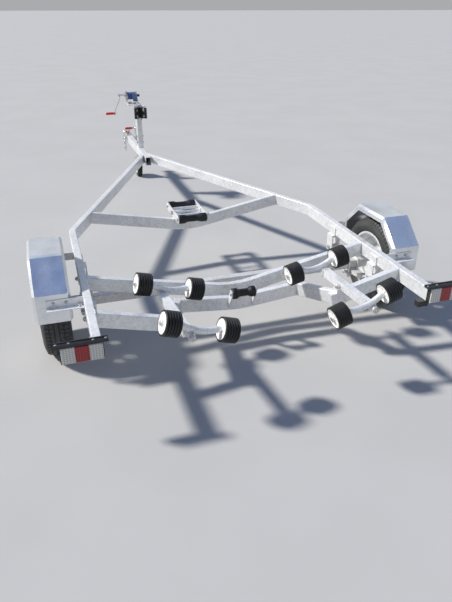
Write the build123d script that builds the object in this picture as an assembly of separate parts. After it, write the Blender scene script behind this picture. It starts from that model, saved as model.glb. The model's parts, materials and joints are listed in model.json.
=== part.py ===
from build123d import *
import math
import os

# A boat trailer in millimetres. +X is its right side, +Y its towing end, +Z up, ground at z = 0.
# Lengths along Y are measured from the rear ends of the two main rails. At the end the whole
# trailer is moved along Y, so that its origin is the bottom centre of its box.

# Main frame
RAIL_X = 824            # rail centre line, from the middle of the trailer
RAIL_TOP = 450          # top face of the frame above the ground
TUBE_W = 40             # rails and cross members are box tubes of this width
TUBE_H = 75             # and this depth
TUBE_WALL = 3
TUBE_CORNER_R = 4       # outer corner of every box tube
RAIL_BEND_Y = 1396      # where the rails turn in towards the drawbar
RAIL_MEET_Y = 3256      # where they meet the drawbar
RAIL_BEND_R = 180
RAIL_END_LAP = 60       # the rails run on this far past that point, cut along the drawbar
DRAWBAR_W = 50
DRAWBAR_H = 75
DRAWBAR_START_Y = 3150
DRAWBAR_END_Y = 4330

# Cross members, each a shallow V that clears the keel
FRONT_MEMBER_Y = 1712
FRONT_MEMBER_DROP = 128   # how far the point of the V lies below the rails
MIDDLE_MEMBER_Y = 665
MIDDLE_MEMBER_DROP = 168
MEMBER_BEND_R = 600
REAR_MEMBER_Y = 270       # the rear member leaves the rails here
REAR_STUB_END_X = 455     # its stubs end here and turn forward
REAR_STUB_DROP = 92
REAR_MIDDLE_Y = 552       # its middle crosses here
REAR_MIDDLE_X = 350
REAR_MIDDLE_DROP = 152
REAR_POINT_DROP = 186

# Wheels, axle and springs
WHEEL_Y = 750
TYRE_R = 272
TYRE_W = 152
TYRE_TO_RAIL = 70
WHEEL_X = RAIL_X + TUBE_W / 2 + TYRE_TO_RAIL + TYRE_W / 2
BEAD_R = 177              # where the tyre sits on the rim
FLANGE_H = 9              # rim flange above the bead seat
RIM_WELL = 26             # depth of the well between the bead seats
VENT_R = 15               # round holes in the wheel disc
VENT_COUNT = 8
RIM_W = 118
RIM_WALL = 4
DISC_OFFSET = 22          # wheel disc, outboard of the middle of the rim
HUB_R = 62
HUB_W = 70
HUB_BODY_R = 36
BORE_GAP = 0.08           # running clearance on every pin and spindle
SPINDLE_R = 17
AXLE_SIZE = 50
AXLE_SHOULDER = 50        # from the end of the square beam to the hub
AXLE_END_X = WHEEL_X - HUB_W / 2 - AXLE_SHOULDER
SPINDLE_NUT_L = 12
SPRING_X = 812
SPRING_W = 45
SPRING_HALF = 250         # from the axle to each spring eye
SPRING_RISE = 52          # the eyes are this much above the middle of the spring
LEAF_T = 7
LEAF_COUNT = 3
EYE_R = 16
EYE_BOLT_R = 7
U_BOLT_R = 6
SPRING_PLATE_T = 8
SPRING_SEAT_T = 6         # pad between the axle and the top leaf
HANGER_T = 6
HANGER_LAP = 50           # how far the inner hanger plate laps up the side of the rail

# Mudguards, folded from sheet
GUARD_SIDE_CLEAR = 14     # from the tyre's walls to the guard's sides
GUARD_IN_X = WHEEL_X - TYRE_W / 2 - GUARD_SIDE_CLEAR
GUARD_OUT_X = WHEEL_X + TYRE_W / 2 + GUARD_SIDE_CLEAR
GUARD_T = 2.5
GUARD_TOP = 2 * TYRE_R + 60
GUARD_BEND_Z = 466        # fold between slope and end panel
GUARD_BOTTOM = 314
GUARD_TOP_HALF = 140      # half length of the top panel
GUARD_HALF = TYRE_R + 18  # half length over the end panels
GUARD_LIP = 36
GUARD_BEVEL = 13
BRACKET_T = 5
BRACKET_LEG = 44
BRACKET_Z = 396           # under side of the shelf that reaches from the rail to the guard
BRACKET_SHORT = 60        # the angle stops this far inside the guard's outer edge

# Lamps
LAMP_X = RAIL_X + 67
LAMP_W = 182
LAMP_H = 84
LAMP_DEPTH = 26
LENS_T = 9
LAMP_RED_W = 58
LAMP_BAR_W = 224
LAMP_BAR_H = 12
LAMP_BAR_D = 34
LAMP_RISE = 22            # top of the bar over the top of the rail
LAMP_GAP = 4
LAMP_PLATE_T = 4
PLATE_LAMP_SIZE = (58, 34, 30)

# Hull rollers: two beams, each with a rocker at both ends, each rocker with two rollers
BEAM_TUBE = 40
BEAM_WALL = 3
BEAM_FRONT = 176          # from the clamp on the stub to the front end of the beam
BEAM_REAR = 238
BEAM_PLATE_T = 8
BEAM_BOLT_R = 8
ARM_R = 16                # rocker arm, a bent round tube
ARM_SAG = 18
ARM_STRAIGHT = 12         # straight end of the arm beside each roller
ARM_LIFT = 44             # arm ends above the pivot
ARM_SHIFT = 35            # the pivot is this far outboard of the middle of the arm
ARM_Y = 32                # arm centre beyond the end of the beam
ROLLER_SPREAD = 282       # between the two rollers of a rocker
ROLLER_R = 59
ROLLER_W = 76
ROLLER_RIBS = 6
RIB_DEPTH = 5
ROLLER_RIM_T = 9          # rubber round the recess in each end
ROLLER_RECESS = 5
ROLLER_HUB_R = 13
ROLLER_PIN_R = 8
PIVOT_PIN_R = 8
PIVOT_SLEEVE_R = 17
FACE_GAP = 0.3            # end float between a turning piece and its seat

# Keel rollers
KEEL_PIN_R = 7
KEEL_LUG_T = 8
CRADLE_HALF = 160         # from the cradle pivot to each roller
CRADLE_Z = 386
CRADLE_PLATE_T = 6
CRADLE_PLATE_H = 54
CRADLE_TUBE_R = 10
KEEL_PIN_OUT = 8          # how far each keel pin stands out of its plates
FRONT_KEEL_ROLLER = (196, 31, 23)    # length, end radius, waist radius
CRADLE_PLATE_X = FRONT_KEEL_ROLLER[0] / 2 + 3
MIDDLE_KEEL_ROLLER = (130, 30, 21)
MIDDLE_KEEL_Y = 484
MIDDLE_KEEL_Z = 318

# Winch post, winch and bow stop
POST_X = 8                # the post stands a little to the right of the drawbar's middle
POST_Y = 3562             # rear face of the post
POST_W = 50
POST_BASE_DEPTH = 52
POST_TOP_DEPTH = 150
POST_TOP = 860
POST_T = 5
WINCH_X = -38             # the winch is bolted to the left of the post's middle
WINCH_Y = 3650
WINCH_Z = 935
SHELF_T = 6
WINCH_PLATE_T = 4
WINCH_EAR = 40            # top of the side plates over the drum shaft
WINCH_HALF = 48           # half width over the side plates
DRUM_R = 38
DRUM_CORE_R = 16
DRUM_CHEEK_T = 3
STRAP_R = 33              # the wound strap
WINCH_SHAFT_R = 8
GEAR_MODULE = 2.8
GEAR_TEETH = 30
PINION_TEETH = 10
GEAR_W = 9
RATCHET_R = 16
RATCHET_TEETH = 12
RATCHET_W = 8
# Half of a tooth's outline: height over the pitch circle in modules, half width as a share of a tooth step
TOOTH_FORM = [(-1.15, 0.33), (0, 0.215), (0.85, 0.11)]
RATCHET_FORM = [(-1.1, 0.3), (0, 0.05)]
GEAR_STEP = GEAR_MODULE * (GEAR_TEETH + PINION_TEETH) / 2    # crank shaft ahead of the drum shaft
CRANK_OUT = 102           # from the middle of the winch to the crank's arm
CRANK_LENGTH = 165
CRANK_SPLAY = 58          # the grip's end of the arm stands this much further out
CRANK_BAR = (22, 6)       # width and thickness of the crank's flat bar
GRIP_PIN_R = 5
GRIP_R = 12
GRIP_L = 88
STOP_LENGTH = 90          # each wing of the bow stop
STOP_T = 20
STOP_H = 96
STOP_ANGLE = 44
STOP_Z = 796
STOP_BACK = 34            # from the post to the root of the wings
STOP_ROOT_Y = POST_Y - STOP_BACK
CHEEK_LAP = 38            # the bracket's cheeks lap this far along the sides of the post
CHEEK_BOLT_R = 6
STOP_PLATE_T = 4          # folded plate behind the rubber
STOP_PLATE_RISE = 20      # it stands this much over the rubber
HOOK_R = 4.5
HOOK_EYE = (52, 20)       # ring for the strap, width and length

# Coupling, safety chain and jockey wheel
COUPLING_L = 310
COUPLING_LAP = 110        # how far the coupling laps over the drawbar
COUPLING_T = 6            # pressed plate over the drawbar's top and sides
COUPLING_W = DRAWBAR_W + 2 * COUPLING_T
COUPLING_H = 70
NECK_W = 46
HEAD_R = 38
HEAD_H = 58
HEAD_BACK = 42            # from the middle of the socket to the tip
BALL_R = 25.3
BALL_DEPTH = 24
LEVER_W = 28
LEVER_L = 150
LEVER_Y = DRAWBAR_END_Y + 60   # pivot of the latch lever
LEVER_PIN_R = 5
LEVER_HUB_R = 10
LEVER_PIN_RISE = LEVER_HUB_R + 2    # the pin over the coupling's top
LEVER_EAR_T = 6
COUPLING_BOLT_R = 7
CHAIN_WIRE_R = 4
CHAIN_LINK_R = 9          # middle of the wire round each end of a link
CHAIN_LINK_STRAIGHT = 18  # straight sides of a link
CHAIN_LINKS = 5
JOCKEY_Y = 4170
JOCKEY_TUBE_R = 24
JOCKEY_OUT = 47           # tube axis from the side of the drawbar
JOCKEY_X = DRAWBAR_W / 2 + JOCKEY_OUT
JOCKEY_TUBE_TOP = 526
JOCKEY_CAP_H = 18
JOCKEY_TUBE_BOTTOM = 300
JOCKEY_STEM_R = 20
JOCKEY_STEM_BOTTOM = 222
JOCKEY_STEM_L = 206
JOCKEY_HANDLE_X = 52      # from the tube's axis to the grip
JOCKEY_GRIP_L = 74
CLAMP_T = 7
CLAMP_PAD_T = 8
CLAMP_SCREW_R = 6
CLAMP_SCREW_L = 34
CLAMP_PAD_HALF = 46
JOCKEY_SHAFT_R = 6
JOCKEY_GRIP_R = 12
JOCKEY_PIN_R = 9          # castor pin, up inside the stem
JOCKEY_PIN_L = 40
JOCKEY_CROWN_T = 6
JOCKEY_WHEEL_R = 100
JOCKEY_WHEEL_W = 58
JOCKEY_AHEAD = 42         # the wheel has swung forward, its pin this far ahead of the stem
JOCKEY_AXLE_R = 7
FORK_T = 4
FORK_GAP = 3              # from each side of the wheel to the fork
SIDES = {"left": -1, "right": 1}


def solid_box(x, y, z):
    """A box between three pairs of limits."""
    size = (x[1] - x[0], y[1] - y[0], z[1] - z[0])
    middle = ((x[0] + x[1]) / 2, (y[0] + y[1]) / 2, (z[0] + z[1]) / 2)
    return Pos(*middle) * Box(*size)


def bar_x(radius, x0, x1, y, z):
    """A round bar along X."""
    return Pos((x0 + x1) / 2, y, z) * Rot(0, 90, 0) * Cylinder(radius, x1 - x0)


def bar_y(radius, y0, y1, x, z):
    """A round bar along Y."""
    return Pos(x, (y0 + y1) / 2, z) * Rot(90, 0, 0) * Cylinder(radius, y1 - y0)


def bar_z(radius, z0, z1, x, y):
    """A round bar along Z."""
    return Pos(x, y, (z0 + z1) / 2) * Cylinder(radius, z1 - z0)


def across(shape, x0, x1, y, z):
    """A face drawn around the origin, set at a place along Y and Z and extruded along X."""
    return extrude(Plane(origin=(x0, y, z), x_dir=(0, 1, 0), z_dir=(1, 0, 0)) * shape, x1 - x0)


def swept(path, section_x, shape):
    """A section carried along a path, its own x axis starting along section_x."""
    start = Plane(origin=path @ 0, x_dir=section_x, z_dir=path % 0)
    return sweep(start * shape, path=path)


def section(width, height, inset=0):
    """The section of a box tube, drawn in on every side by inset."""
    corner = max(TUBE_CORNER_R - inset, 1)
    return RectangleRounded(width - 2 * inset, height - 2 * inset, corner)


def box_tube(path, section_x, width=TUBE_W, height=TUBE_H, wall=TUBE_WALL):
    """A hollow box tube along a path."""
    outside = swept(path, section_x, section(width, height))
    return outside - swept(path, section_x, section(width, height, wall))


def solid_tube(path, section_x, inset=0):
    """A box tube's outer shape along a path, or the shape of its hollow."""
    return swept(path, section_x, section(TUBE_W, TUBE_H, inset))


# Frame

MID_Z = RAIL_TOP - TUBE_H / 2
RAIL_END_X = (DRAWBAR_W + TUBE_W) / 2


def rail_reach(y):
    """How far the rails' centre lines stand from the middle at a place along the trailer."""
    slope = (RAIL_X - RAIL_END_X) / (RAIL_MEET_Y - RAIL_BEND_Y)
    return RAIL_X - slope * max(y - RAIL_BEND_Y, 0)


def rail_path(side):
    last_y = RAIL_MEET_Y + RAIL_END_LAP
    last_x = rail_reach(last_y)
    points = [(RAIL_X, 0), (RAIL_X, RAIL_BEND_Y), (last_x, last_y)]
    return FilletPolyline(*[(side * x, y, MID_Z) for x, y in points], radius=RAIL_BEND_R)


def rail(side):
    body = box_tube(rail_path(side), (1, 0, 0))
    return body - drawbar_envelope()


def drawbar_envelope():
    """The space of the drawbar, run on to the rear, which the rails stop at."""
    half = DRAWBAR_W / 2
    return solid_box((-half, half), (RAIL_BEND_Y, DRAWBAR_END_Y), (0, 2 * RAIL_TOP))


def drawbar():
    z = RAIL_TOP - DRAWBAR_H / 2
    path = Line((0, DRAWBAR_START_Y, z), (0, DRAWBAR_END_Y, z))
    return box_tube(path, (1, 0, 0), DRAWBAR_W, DRAWBAR_H)


def rail_solids():
    return [solid_tube(rail_path(side), (1, 0, 0)) for side in SIDES.values()]


def v_path(y, drop, reach):
    """A shallow V across the trailer, as wide each way as reach."""
    full = rail_reach(y)
    end_z = MID_Z - drop * (1 - reach / full)
    points = [(-reach, y, end_z), (0, y, MID_Z - drop), (reach, y, end_z)]
    return FilletPolyline(*points, radius=MEMBER_BEND_R)


def v_member(y, drop):
    """A cross member whose ends meet the inner faces of the rails."""
    body = box_tube(v_path(y, drop, rail_reach(y)), (0, 1, 0))
    for envelope in rail_solids():
        body = body - envelope
    return body


def rear_member_shape(inset=0):
    """The rear member: a stub from each rail, a brace forward from it and a V across the middle."""
    middle_z = MID_Z - REAR_MIDDLE_DROP
    reach = REAR_MIDDLE_X + TUBE_W / 2 - inset
    slope = (REAR_POINT_DROP - REAR_MIDDLE_DROP) / REAR_MIDDLE_X
    end_z = MID_Z - REAR_POINT_DROP + slope * reach
    route = [(-reach, end_z), (0, MID_Z - REAR_POINT_DROP), (reach, end_z)]
    points = [(x, REAR_MIDDLE_Y, z) for x, z in route]
    body = solid_tube(FilletPolyline(*points, radius=MEMBER_BEND_R), (0, 1, 0), inset)
    for side in SIDES.values():
        start = Vector(side * REAR_STUB_END_X, REAR_MEMBER_Y, MID_Z - REAR_STUB_DROP)
        end = Vector(side * REAR_MIDDLE_X, REAR_MIDDLE_Y, middle_z)
        along = (end - start).normalized()
        path = Line(start + along * inset, end - along * inset)
        body = body + stub_solid(side, inset) + solid_tube(path, Vector(0, 0, 1).cross(along), inset)
    return body


def rear_member():
    body = rear_member_shape()
    for envelope in rail_solids():
        body = body - envelope
    return body - rear_member_shape(TUBE_WALL)


# Axle and springs

AXLE_Z = TYRE_R
AXLE_BOTTOM = AXLE_Z - AXLE_SIZE / 2
SPRING_STACK = LEAF_T * LEAF_COUNT
LEAF_TOP = AXLE_BOTTOM - SPRING_SEAT_T
EYE_Z = LEAF_TOP - LEAF_T / 2 + SPRING_RISE


def axle_beam():
    beam = RectangleRounded(AXLE_SIZE, AXLE_SIZE, TUBE_CORNER_R)
    body = across(beam, -AXLE_END_X, AXLE_END_X, WHEEL_Y, AXLE_Z)
    tip = WHEEL_X + HUB_W / 2 + SPINDLE_NUT_L
    for side in SIDES.values():
        low, high = sorted((side * AXLE_END_X, side * tip))
        body = body + bar_x(SPINDLE_R, low, high, WHEEL_Y, AXLE_Z)
        seat_low, seat_high = sorted((side * AXLE_END_X, side * (WHEEL_X - HUB_W / 2 - FACE_GAP)))
        body = body + bar_x(SPINDLE_R + 8, seat_low, seat_high, WHEEL_Y, AXLE_Z)
    return body


def leaf(side, number):
    """One leaf, an arc that rises to the eyes. Leaf 0 is the longest and lies on top."""
    half = SPRING_HALF * (1 - 0.26 * number)
    radius = (SPRING_HALF**2 + SPRING_RISE**2) / (2 * SPRING_RISE)
    centre_z = LEAF_TOP - LEAF_T / 2 + radius
    outer_r = radius + LEAF_T / 2 + number * LEAF_T
    inner_r = outer_r - LEAF_T
    angle = math.asin(half / (radius + number * LEAF_T))
    ring = Circle(outer_r) - Circle(inner_r)
    reach = outer_r * 1.2
    wedge = make_face(Polyline((0, 0), (reach * math.sin(angle), -reach * math.cos(angle)),
                               (-reach * math.sin(angle), -reach * math.cos(angle)), close=True))
    profile = ring & wedge
    low_x = side * SPRING_X - SPRING_W / 2
    return across(profile, low_x, low_x + SPRING_W, WHEEL_Y, centre_z)


def spring(side):
    """Leaves, eyes, U-bolts and the plate under them, as one stack."""
    body = leaf(side, 0)
    for number in range(1, LEAF_COUNT):
        body = body + leaf(side, number)
    x0 = side * SPRING_X - SPRING_W / 2
    x1 = x0 + SPRING_W
    for end in (-1, 1):
        eye_y = WHEEL_Y + end * SPRING_HALF
        body = body + bar_x(EYE_R, x0, x1, eye_y, EYE_Z)
        body = body - bar_x(EYE_BOLT_R + BORE_GAP, x0 - 1, x1 + 1, eye_y, EYE_Z)
    plate_top = LEAF_TOP - SPRING_STACK + 1
    half_y = AXLE_SIZE / 2 + U_BOLT_R
    seat = solid_box((x0, x1), (WHEEL_Y - half_y, WHEEL_Y + half_y), (LEAF_TOP - LEAF_T / 2, AXLE_BOTTOM))
    body = body + seat
    plate = solid_box(
        (x0 - 2 * U_BOLT_R - 8, x1 + 2 * U_BOLT_R + 8),
        (WHEEL_Y - half_y - 12, WHEEL_Y + half_y + 12),
        (plate_top - SPRING_PLATE_T, plate_top),
    )
    body = body + plate
    for x in (x0 - U_BOLT_R - 1, x1 + U_BOLT_R + 1):
        loop_top = AXLE_Z + AXLE_SIZE / 2 + U_BOLT_R
        for y in (WHEEL_Y - half_y, WHEEL_Y + half_y):
            body = body + bar_z(U_BOLT_R, plate_top - SPRING_PLATE_T - 16, loop_top, x, y)
        body = body + bar_y(U_BOLT_R, WHEEL_Y - half_y, WHEEL_Y + half_y, x, loop_top)
    return body


def hangers(side):
    """The plates that hold both spring eyes, lapped on the inner face of the rail."""
    bodies = []
    rail_bottom = RAIL_TOP - TUBE_H
    inner_face = RAIL_X - TUBE_W / 2
    for end in (-1, 1):
        eye_y = WHEEL_Y + end * SPRING_HALF
        inner_x = inner_face - HANGER_T
        outer_x = SPRING_X + SPRING_W / 2 + FACE_GAP
        span_y = (eye_y - 34, eye_y + 34)
        low = EYE_Z - EYE_R - 8
        gap_x = SPRING_X - SPRING_W / 2 - FACE_GAP
        inner = solid_box((inner_x, inner_face), span_y, (rail_bottom - 14, rail_bottom + HANGER_LAP))
        cheek = solid_box((gap_x - HANGER_T, gap_x), span_y, (low, rail_bottom))
        roof_x = (gap_x - HANGER_T, outer_x + HANGER_T)
        roof = solid_box(roof_x, span_y, (rail_bottom - HANGER_T, rail_bottom))
        other = solid_box((outer_x, outer_x + HANGER_T), span_y, (low, rail_bottom))
        bolt = bar_x(EYE_BOLT_R, gap_x - HANGER_T - 6, outer_x + HANGER_T + 6, eye_y, EYE_Z)
        body = inner + cheek + roof + other + bolt
        bodies.append(mirror_side(body, side))
    return bodies


def mirror_side(shape, side):
    """The shape as drawn for the right side, or its mirror image for the left."""
    return shape if side > 0 else mirror(shape, about=Plane.YZ)


# Wheels

def tyre():
    """A road tyre around the X axis, drawn as a section and turned."""
    half = TYRE_W / 2
    seat = RIM_W / 2
    wall = TYRE_R - BEAD_R
    right = [(seat, BEAD_R), (seat, BEAD_R + FLANGE_H + 2), (half, BEAD_R + wall * 0.5),
             (half - 10, TYRE_R - 18), (half - 34, TYRE_R)]
    left = [(-x, r) for x, r in reversed(right)]
    return revolve(make_face(Polyline(*right, *left, close=True)), Axis.X)


def rim(side):
    """The rim barrel, the dished disc with its vents and the hub with its cap, around the X axis."""
    seat = RIM_W / 2
    t = RIM_WALL
    well_r = BEAD_R - RIM_WELL
    lip = BEAD_R + FLANGE_H
    outside = [(-seat - t, lip), (-seat, lip), (-seat, BEAD_R), (-seat + 24, BEAD_R - t),
               (-seat + 36, well_r), (seat - 44, well_r), (seat - 26, BEAD_R - t), (seat, BEAD_R),
               (seat, lip), (seat + t, lip)]
    inside = [(seat + t, BEAD_R - t), (seat - 24, BEAD_R - 2 * t), (seat - 42, well_r - t),
              (-seat + 34, well_r - t), (-seat + 22, BEAD_R - 2 * t), (-seat - t, BEAD_R - t)]
    body = revolve(make_face(Polyline(*outside, *inside, close=True)), Axis.X)
    inner_r = well_r - 2
    face = DISC_OFFSET
    skin = RIM_WALL + 1
    shoulder = inner_r - 40
    front = [(face - 24, inner_r), (face - 24, inner_r - 12), (face + 6, shoulder), (face, HUB_R + 4)]
    back = [(x - skin, r) for x, r in reversed(front)]
    centre = [(face, SPINDLE_R + 6), (face - skin, SPINDLE_R + 6)]
    body = body + revolve(make_face(Polyline(*front, *centre, *back, close=True)), Axis.X)
    for step in range(VENT_COUNT):
        turn = Rot((step + 0.5) * 360 / VENT_COUNT, 0, 0)
        vent = Rot(0, 90, 0) * Cylinder(VENT_R, 4 * DISC_OFFSET)
        body = body - turn * Pos(face, 0, (HUB_R + inner_r) / 2) * vent
    bore = SPINDLE_R + BORE_GAP
    cap_x = HUB_W / 2 + SPINDLE_NUT_L + 4
    drum = [(-HUB_W / 2, bore), (-HUB_W / 2, HUB_BODY_R), (face - 14, HUB_BODY_R), (face - 14, HUB_R),
            (face - 4, HUB_R)]
    cap = [(face - 4, HUB_BODY_R - 2), (cap_x, HUB_BODY_R - 4), (cap_x + 6, HUB_BODY_R - 12), (cap_x + 6, 0),
           (cap_x + 2, 0), (cap_x + 2, bore)]
    body = body + revolve(make_face(Polyline(*drum, *cap, close=True)), Axis.X)
    return mirror_side(body, side)


# Mudguards

def guard_outline(inset):
    """The closed side outline of a guard, drawn in by inset, running below the bottom edge."""
    half = GUARD_HALF - inset
    fold = inset * 0.41
    low = GUARD_BOTTOM - 100 if inset else GUARD_BOTTOM
    top_half = GUARD_TOP_HALF - fold
    right = [(top_half, GUARD_TOP - inset), (half, GUARD_BEND_Z - fold), (half, low)]
    left = [(-y, z) for y, z in reversed(right)]
    return make_face(Polyline(*left, *right, close=True))


def guard_block(inset):
    block = across(guard_outline(inset), GUARD_IN_X + inset, GUARD_OUT_X - inset, WHEEL_Y, 0)
    sides = [edge for edge in block.edges() if abs(edge.tangent_at(0.5).X) < 0.01]
    rims = [edge for edge in sides if edge.center().Z > GUARD_BOTTOM - 80]
    return chamfer(rims, GUARD_BEVEL)


def guard(side):
    """An open arch of sheet with bevelled long edges and a narrow lip down each side."""
    shell = guard_block(0) - guard_block(GUARD_T)
    opening = across(guard_outline(GUARD_LIP), GUARD_IN_X - 10, GUARD_OUT_X + 10, WHEEL_Y, 0)
    return mirror_side(shell - opening, side)


def guard_brackets(side):
    """The angles that carry the back and the front of a guard from the rail's outer face."""
    rail_face = RAIL_X + TUBE_W / 2
    reach = GUARD_OUT_X - BRACKET_SHORT
    bodies = []
    for end in (-1, 1):
        guard_face = WHEEL_Y + end * GUARD_HALF
        upright_y = sorted((guard_face, guard_face + end * BRACKET_T))
        shelf_y = sorted((guard_face, guard_face + end * BRACKET_LEG))
        upright = solid_box((rail_face, reach), upright_y, (BRACKET_Z, BRACKET_Z + BRACKET_LEG))
        shelf = solid_box((rail_face, reach), shelf_y, (BRACKET_Z, BRACKET_Z + BRACKET_T))
        bodies.append(mirror_side(upright + shelf, side))
    return bodies


# Lamps

LAMP_TOP = RAIL_TOP + LAMP_RISE - LAMP_BAR_H
LAMP_FACE = -LAMP_DEPTH - LENS_T


def lamp_bar(side):
    """The ribbed bar over a rear lamp and the lamp's back."""
    half = LAMP_BAR_W / 2
    low = LAMP_TOP
    high = RAIL_TOP + LAMP_RISE
    rear = LAMP_FACE
    front = rear + LAMP_BAR_D
    groove = high - 4
    profile = make_face(Polyline((rear, low), (front, low), (front, high), (front - 7, high),
                                 (front - 7, groove), (rear + 9, groove), (rear + 9, high),
                                 (rear, high - 2), close=True))
    bar = across(profile, LAMP_X - half, LAMP_X + half, 0, 0)
    span_x = (LAMP_X - LAMP_W / 2, LAMP_X + LAMP_W / 2)
    back = solid_box(span_x, (-LAMP_DEPTH, -LAMP_PLATE_T), (low - LAMP_H, low))
    return mirror_side(bar + back, side)


def lamp_bracket(side):
    """The plate on the rail end that a lamp is screwed to, with a gusset on the rail's outer face."""
    face = RAIL_X + TUBE_W / 2
    low = RAIL_TOP - TUBE_H
    plate = solid_box((RAIL_X - TUBE_W / 2, LAMP_X + LAMP_W / 2 - 14), (-LAMP_PLATE_T, 0), (low, RAIL_TOP))
    outline = make_face(Polyline((face, 0), (face + 62, 0), (face, 48), close=True))
    gusset = extrude(Plane(origin=(0, 0, RAIL_TOP - 6)) * outline, 5)
    return mirror_side(plate + gusset, side)


def lamp_lens(side, part):
    """One of the three windows of a lamp: part is -1 inboard, 0 the red middle, 1 outboard."""
    top = LAMP_TOP - LAMP_GAP
    low = LAMP_TOP - LAMP_H + LAMP_GAP
    edge = LAMP_W / 2 - LAMP_GAP
    spans = {
        -1: (LAMP_X - edge, LAMP_X - LAMP_RED_W / 2),
        0: (LAMP_X - LAMP_RED_W / 2, LAMP_X + LAMP_RED_W / 2),
        1: (LAMP_X + LAMP_RED_W / 2, LAMP_X + edge),
    }
    window = solid_box(spans[part], (LAMP_FACE, -LAMP_DEPTH), (low, top))
    front = window.faces().sort_by(Axis.Y)[0].edges()
    return mirror_side(chamfer(front, LENS_T / 4), side)


def plate_lamp():
    """The small lamp under the right rail end that lights a number plate."""
    width, depth, height = PLATE_LAMP_SIZE
    low = RAIL_TOP - TUBE_H
    return solid_box((RAIL_X - width, RAIL_X), (2, 2 + depth), (low - height, low))


# Hull rollers

# Where each beam is clamped on its stub, how far its front end is swung to the left and
# tipped up, in degrees, and the packing under its foot
BEAM_PLACES = {"left": (-439, 3.6, -2.5, 10), "right": (480, 3.4, 0, 0)}
# How far each rocker has come to rest with its outer roller up, in degrees
ROCKER_SLOPES = {"front_left": 15, "rear_left": 18, "front_right": 12, "rear_right": 17}


def stub_top(x):
    slope = REAR_STUB_DROP / (RAIL_X - REAR_STUB_END_X)
    return RAIL_TOP - slope * (RAIL_X - abs(x)) + TUBE_H / 2 * (1 / math.cos(math.atan(slope)) - 1)


def beam_frame(name):
    """The frame of one beam: its origin is on the beam's bottom face over the stub."""
    x, yaw, pitch, packing = BEAM_PLACES[name]
    lift = BEAM_TUBE / 2 * REAR_STUB_DROP / (RAIL_X - REAR_STUB_END_X)
    return Pos(x, REAR_MEMBER_Y, stub_top(x) + lift + packing) * Rot(0, 0, yaw) * Rot(pitch, 0, 0)


def rocker_beam(name):
    """A box tube with an end plate and a pivot pin at each end, and its foot on the rear member."""
    half = BEAM_TUBE / 2
    inner = half - BEAM_WALL
    span = (-BEAM_REAR + BEAM_PLATE_T, BEAM_FRONT - BEAM_PLATE_T)
    tube = solid_box((-half, half), span, (0, BEAM_TUBE))
    tube = tube - solid_box((-inner, inner), span, (BEAM_WALL, BEAM_TUBE - BEAM_WALL))
    body = tube
    pivot_z = half
    for end_y, out in ((BEAM_FRONT, 1), (-BEAM_REAR, -1)):
        plate = sorted((end_y, end_y - out * BEAM_PLATE_T))
        body = body + solid_box((-half - 4, half + 4), plate, (-4, BEAM_TUBE + 2))
        tip = end_y + out * (2 * ARM_Y + 12)
        body = body + bar_y(PIVOT_PIN_R, *sorted((end_y, tip)), 0, pivot_z)
        nut_start = end_y + out * (2 * ARM_Y)
        body = body + bar_y(PIVOT_PIN_R + 5, *sorted((nut_start, nut_start + out * 8)), 0, pivot_z)
    ear = half + 24
    body = body + solid_box((-ear, ear), (-TUBE_W / 2, TUBE_W / 2), (-18, 7))
    for x in (-half - 12, half + 12):
        body = body + bar_z(BEAM_BOLT_R, 7, 14, x, 0)
    return beam_frame(name) * body - rear_member_shape()


def stub_solid(side, inset=0):
    """The stub of the rear member on one side, from the rail to its inner end."""
    slope = REAR_STUB_DROP / (RAIL_X - REAR_STUB_END_X)
    inner_x = REAR_STUB_END_X - TUBE_W + inset
    rail_point = Vector(side * RAIL_X, REAR_MEMBER_Y, MID_Z)
    inner_point = Vector(side * inner_x, REAR_MEMBER_Y, MID_Z - slope * (RAIL_X - inner_x))
    return solid_tube(Line(rail_point, inner_point), (0, 1, 0), inset)


def arm_ends(out, slope):
    """The middle of a rocker's arm from its pivot, and the directions along it and up."""
    angle = math.radians(slope)
    along = Vector(out * math.cos(angle), 0, math.sin(angle))
    up = Vector(-out * math.sin(angle), 0, math.cos(angle))
    centre = up * ARM_LIFT - along * ARM_SHIFT
    return centre, along, up


def rocker_arm(out, slope):
    """A bent tube between two rollers, hung on a pivot sleeve by a web plate."""
    centre, along, up = arm_ends(out, slope)
    half = ROLLER_SPREAD / 2 - ROLLER_W / 2 - FACE_GAP - ARM_STRAIGHT
    start = centre - along * half
    middle = centre - up * ARM_SAG
    end = centre + along * half
    arc = ThreePointArc(start, middle, end)
    plane = Plane(origin=arc @ 0, z_dir=arc % 0)
    body = sweep(plane * Circle(ARM_R), path=arc)
    pin = ROLLER_W + 8
    for sign, point in ((-1, start), (1, end)):
        seat = Plane(origin=point - along * sign * 4, z_dir=along * sign)
        body = body + extrude(seat * Circle(ARM_R), ARM_STRAIGHT + 4)
        body = body + extrude(seat * Circle(ROLLER_PIN_R), pin + ARM_STRAIGHT + 4)
        reach = ARM_STRAIGHT + ROLLER_W + 2 * FACE_GAP
        cap = Plane(origin=point + along * sign * reach, z_dir=along * sign)
        body = body + extrude(cap * Circle(ROLLER_PIN_R + 5), 6)
    web = solid_box((-22, 22), (-4, 4), (-4, ARM_LIFT - ARM_SAG + 3))
    web = Rot(0, -out * slope, 0) * web
    sleeve = bar_y(PIVOT_SLEEVE_R, -ARM_Y + FACE_GAP, ARM_Y - FACE_GAP, 0, 0)
    body = body + web + sleeve
    return body - bar_y(PIVOT_PIN_R + BORE_GAP, -ARM_Y - 1, ARM_Y + 1, 0, 0)


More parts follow.
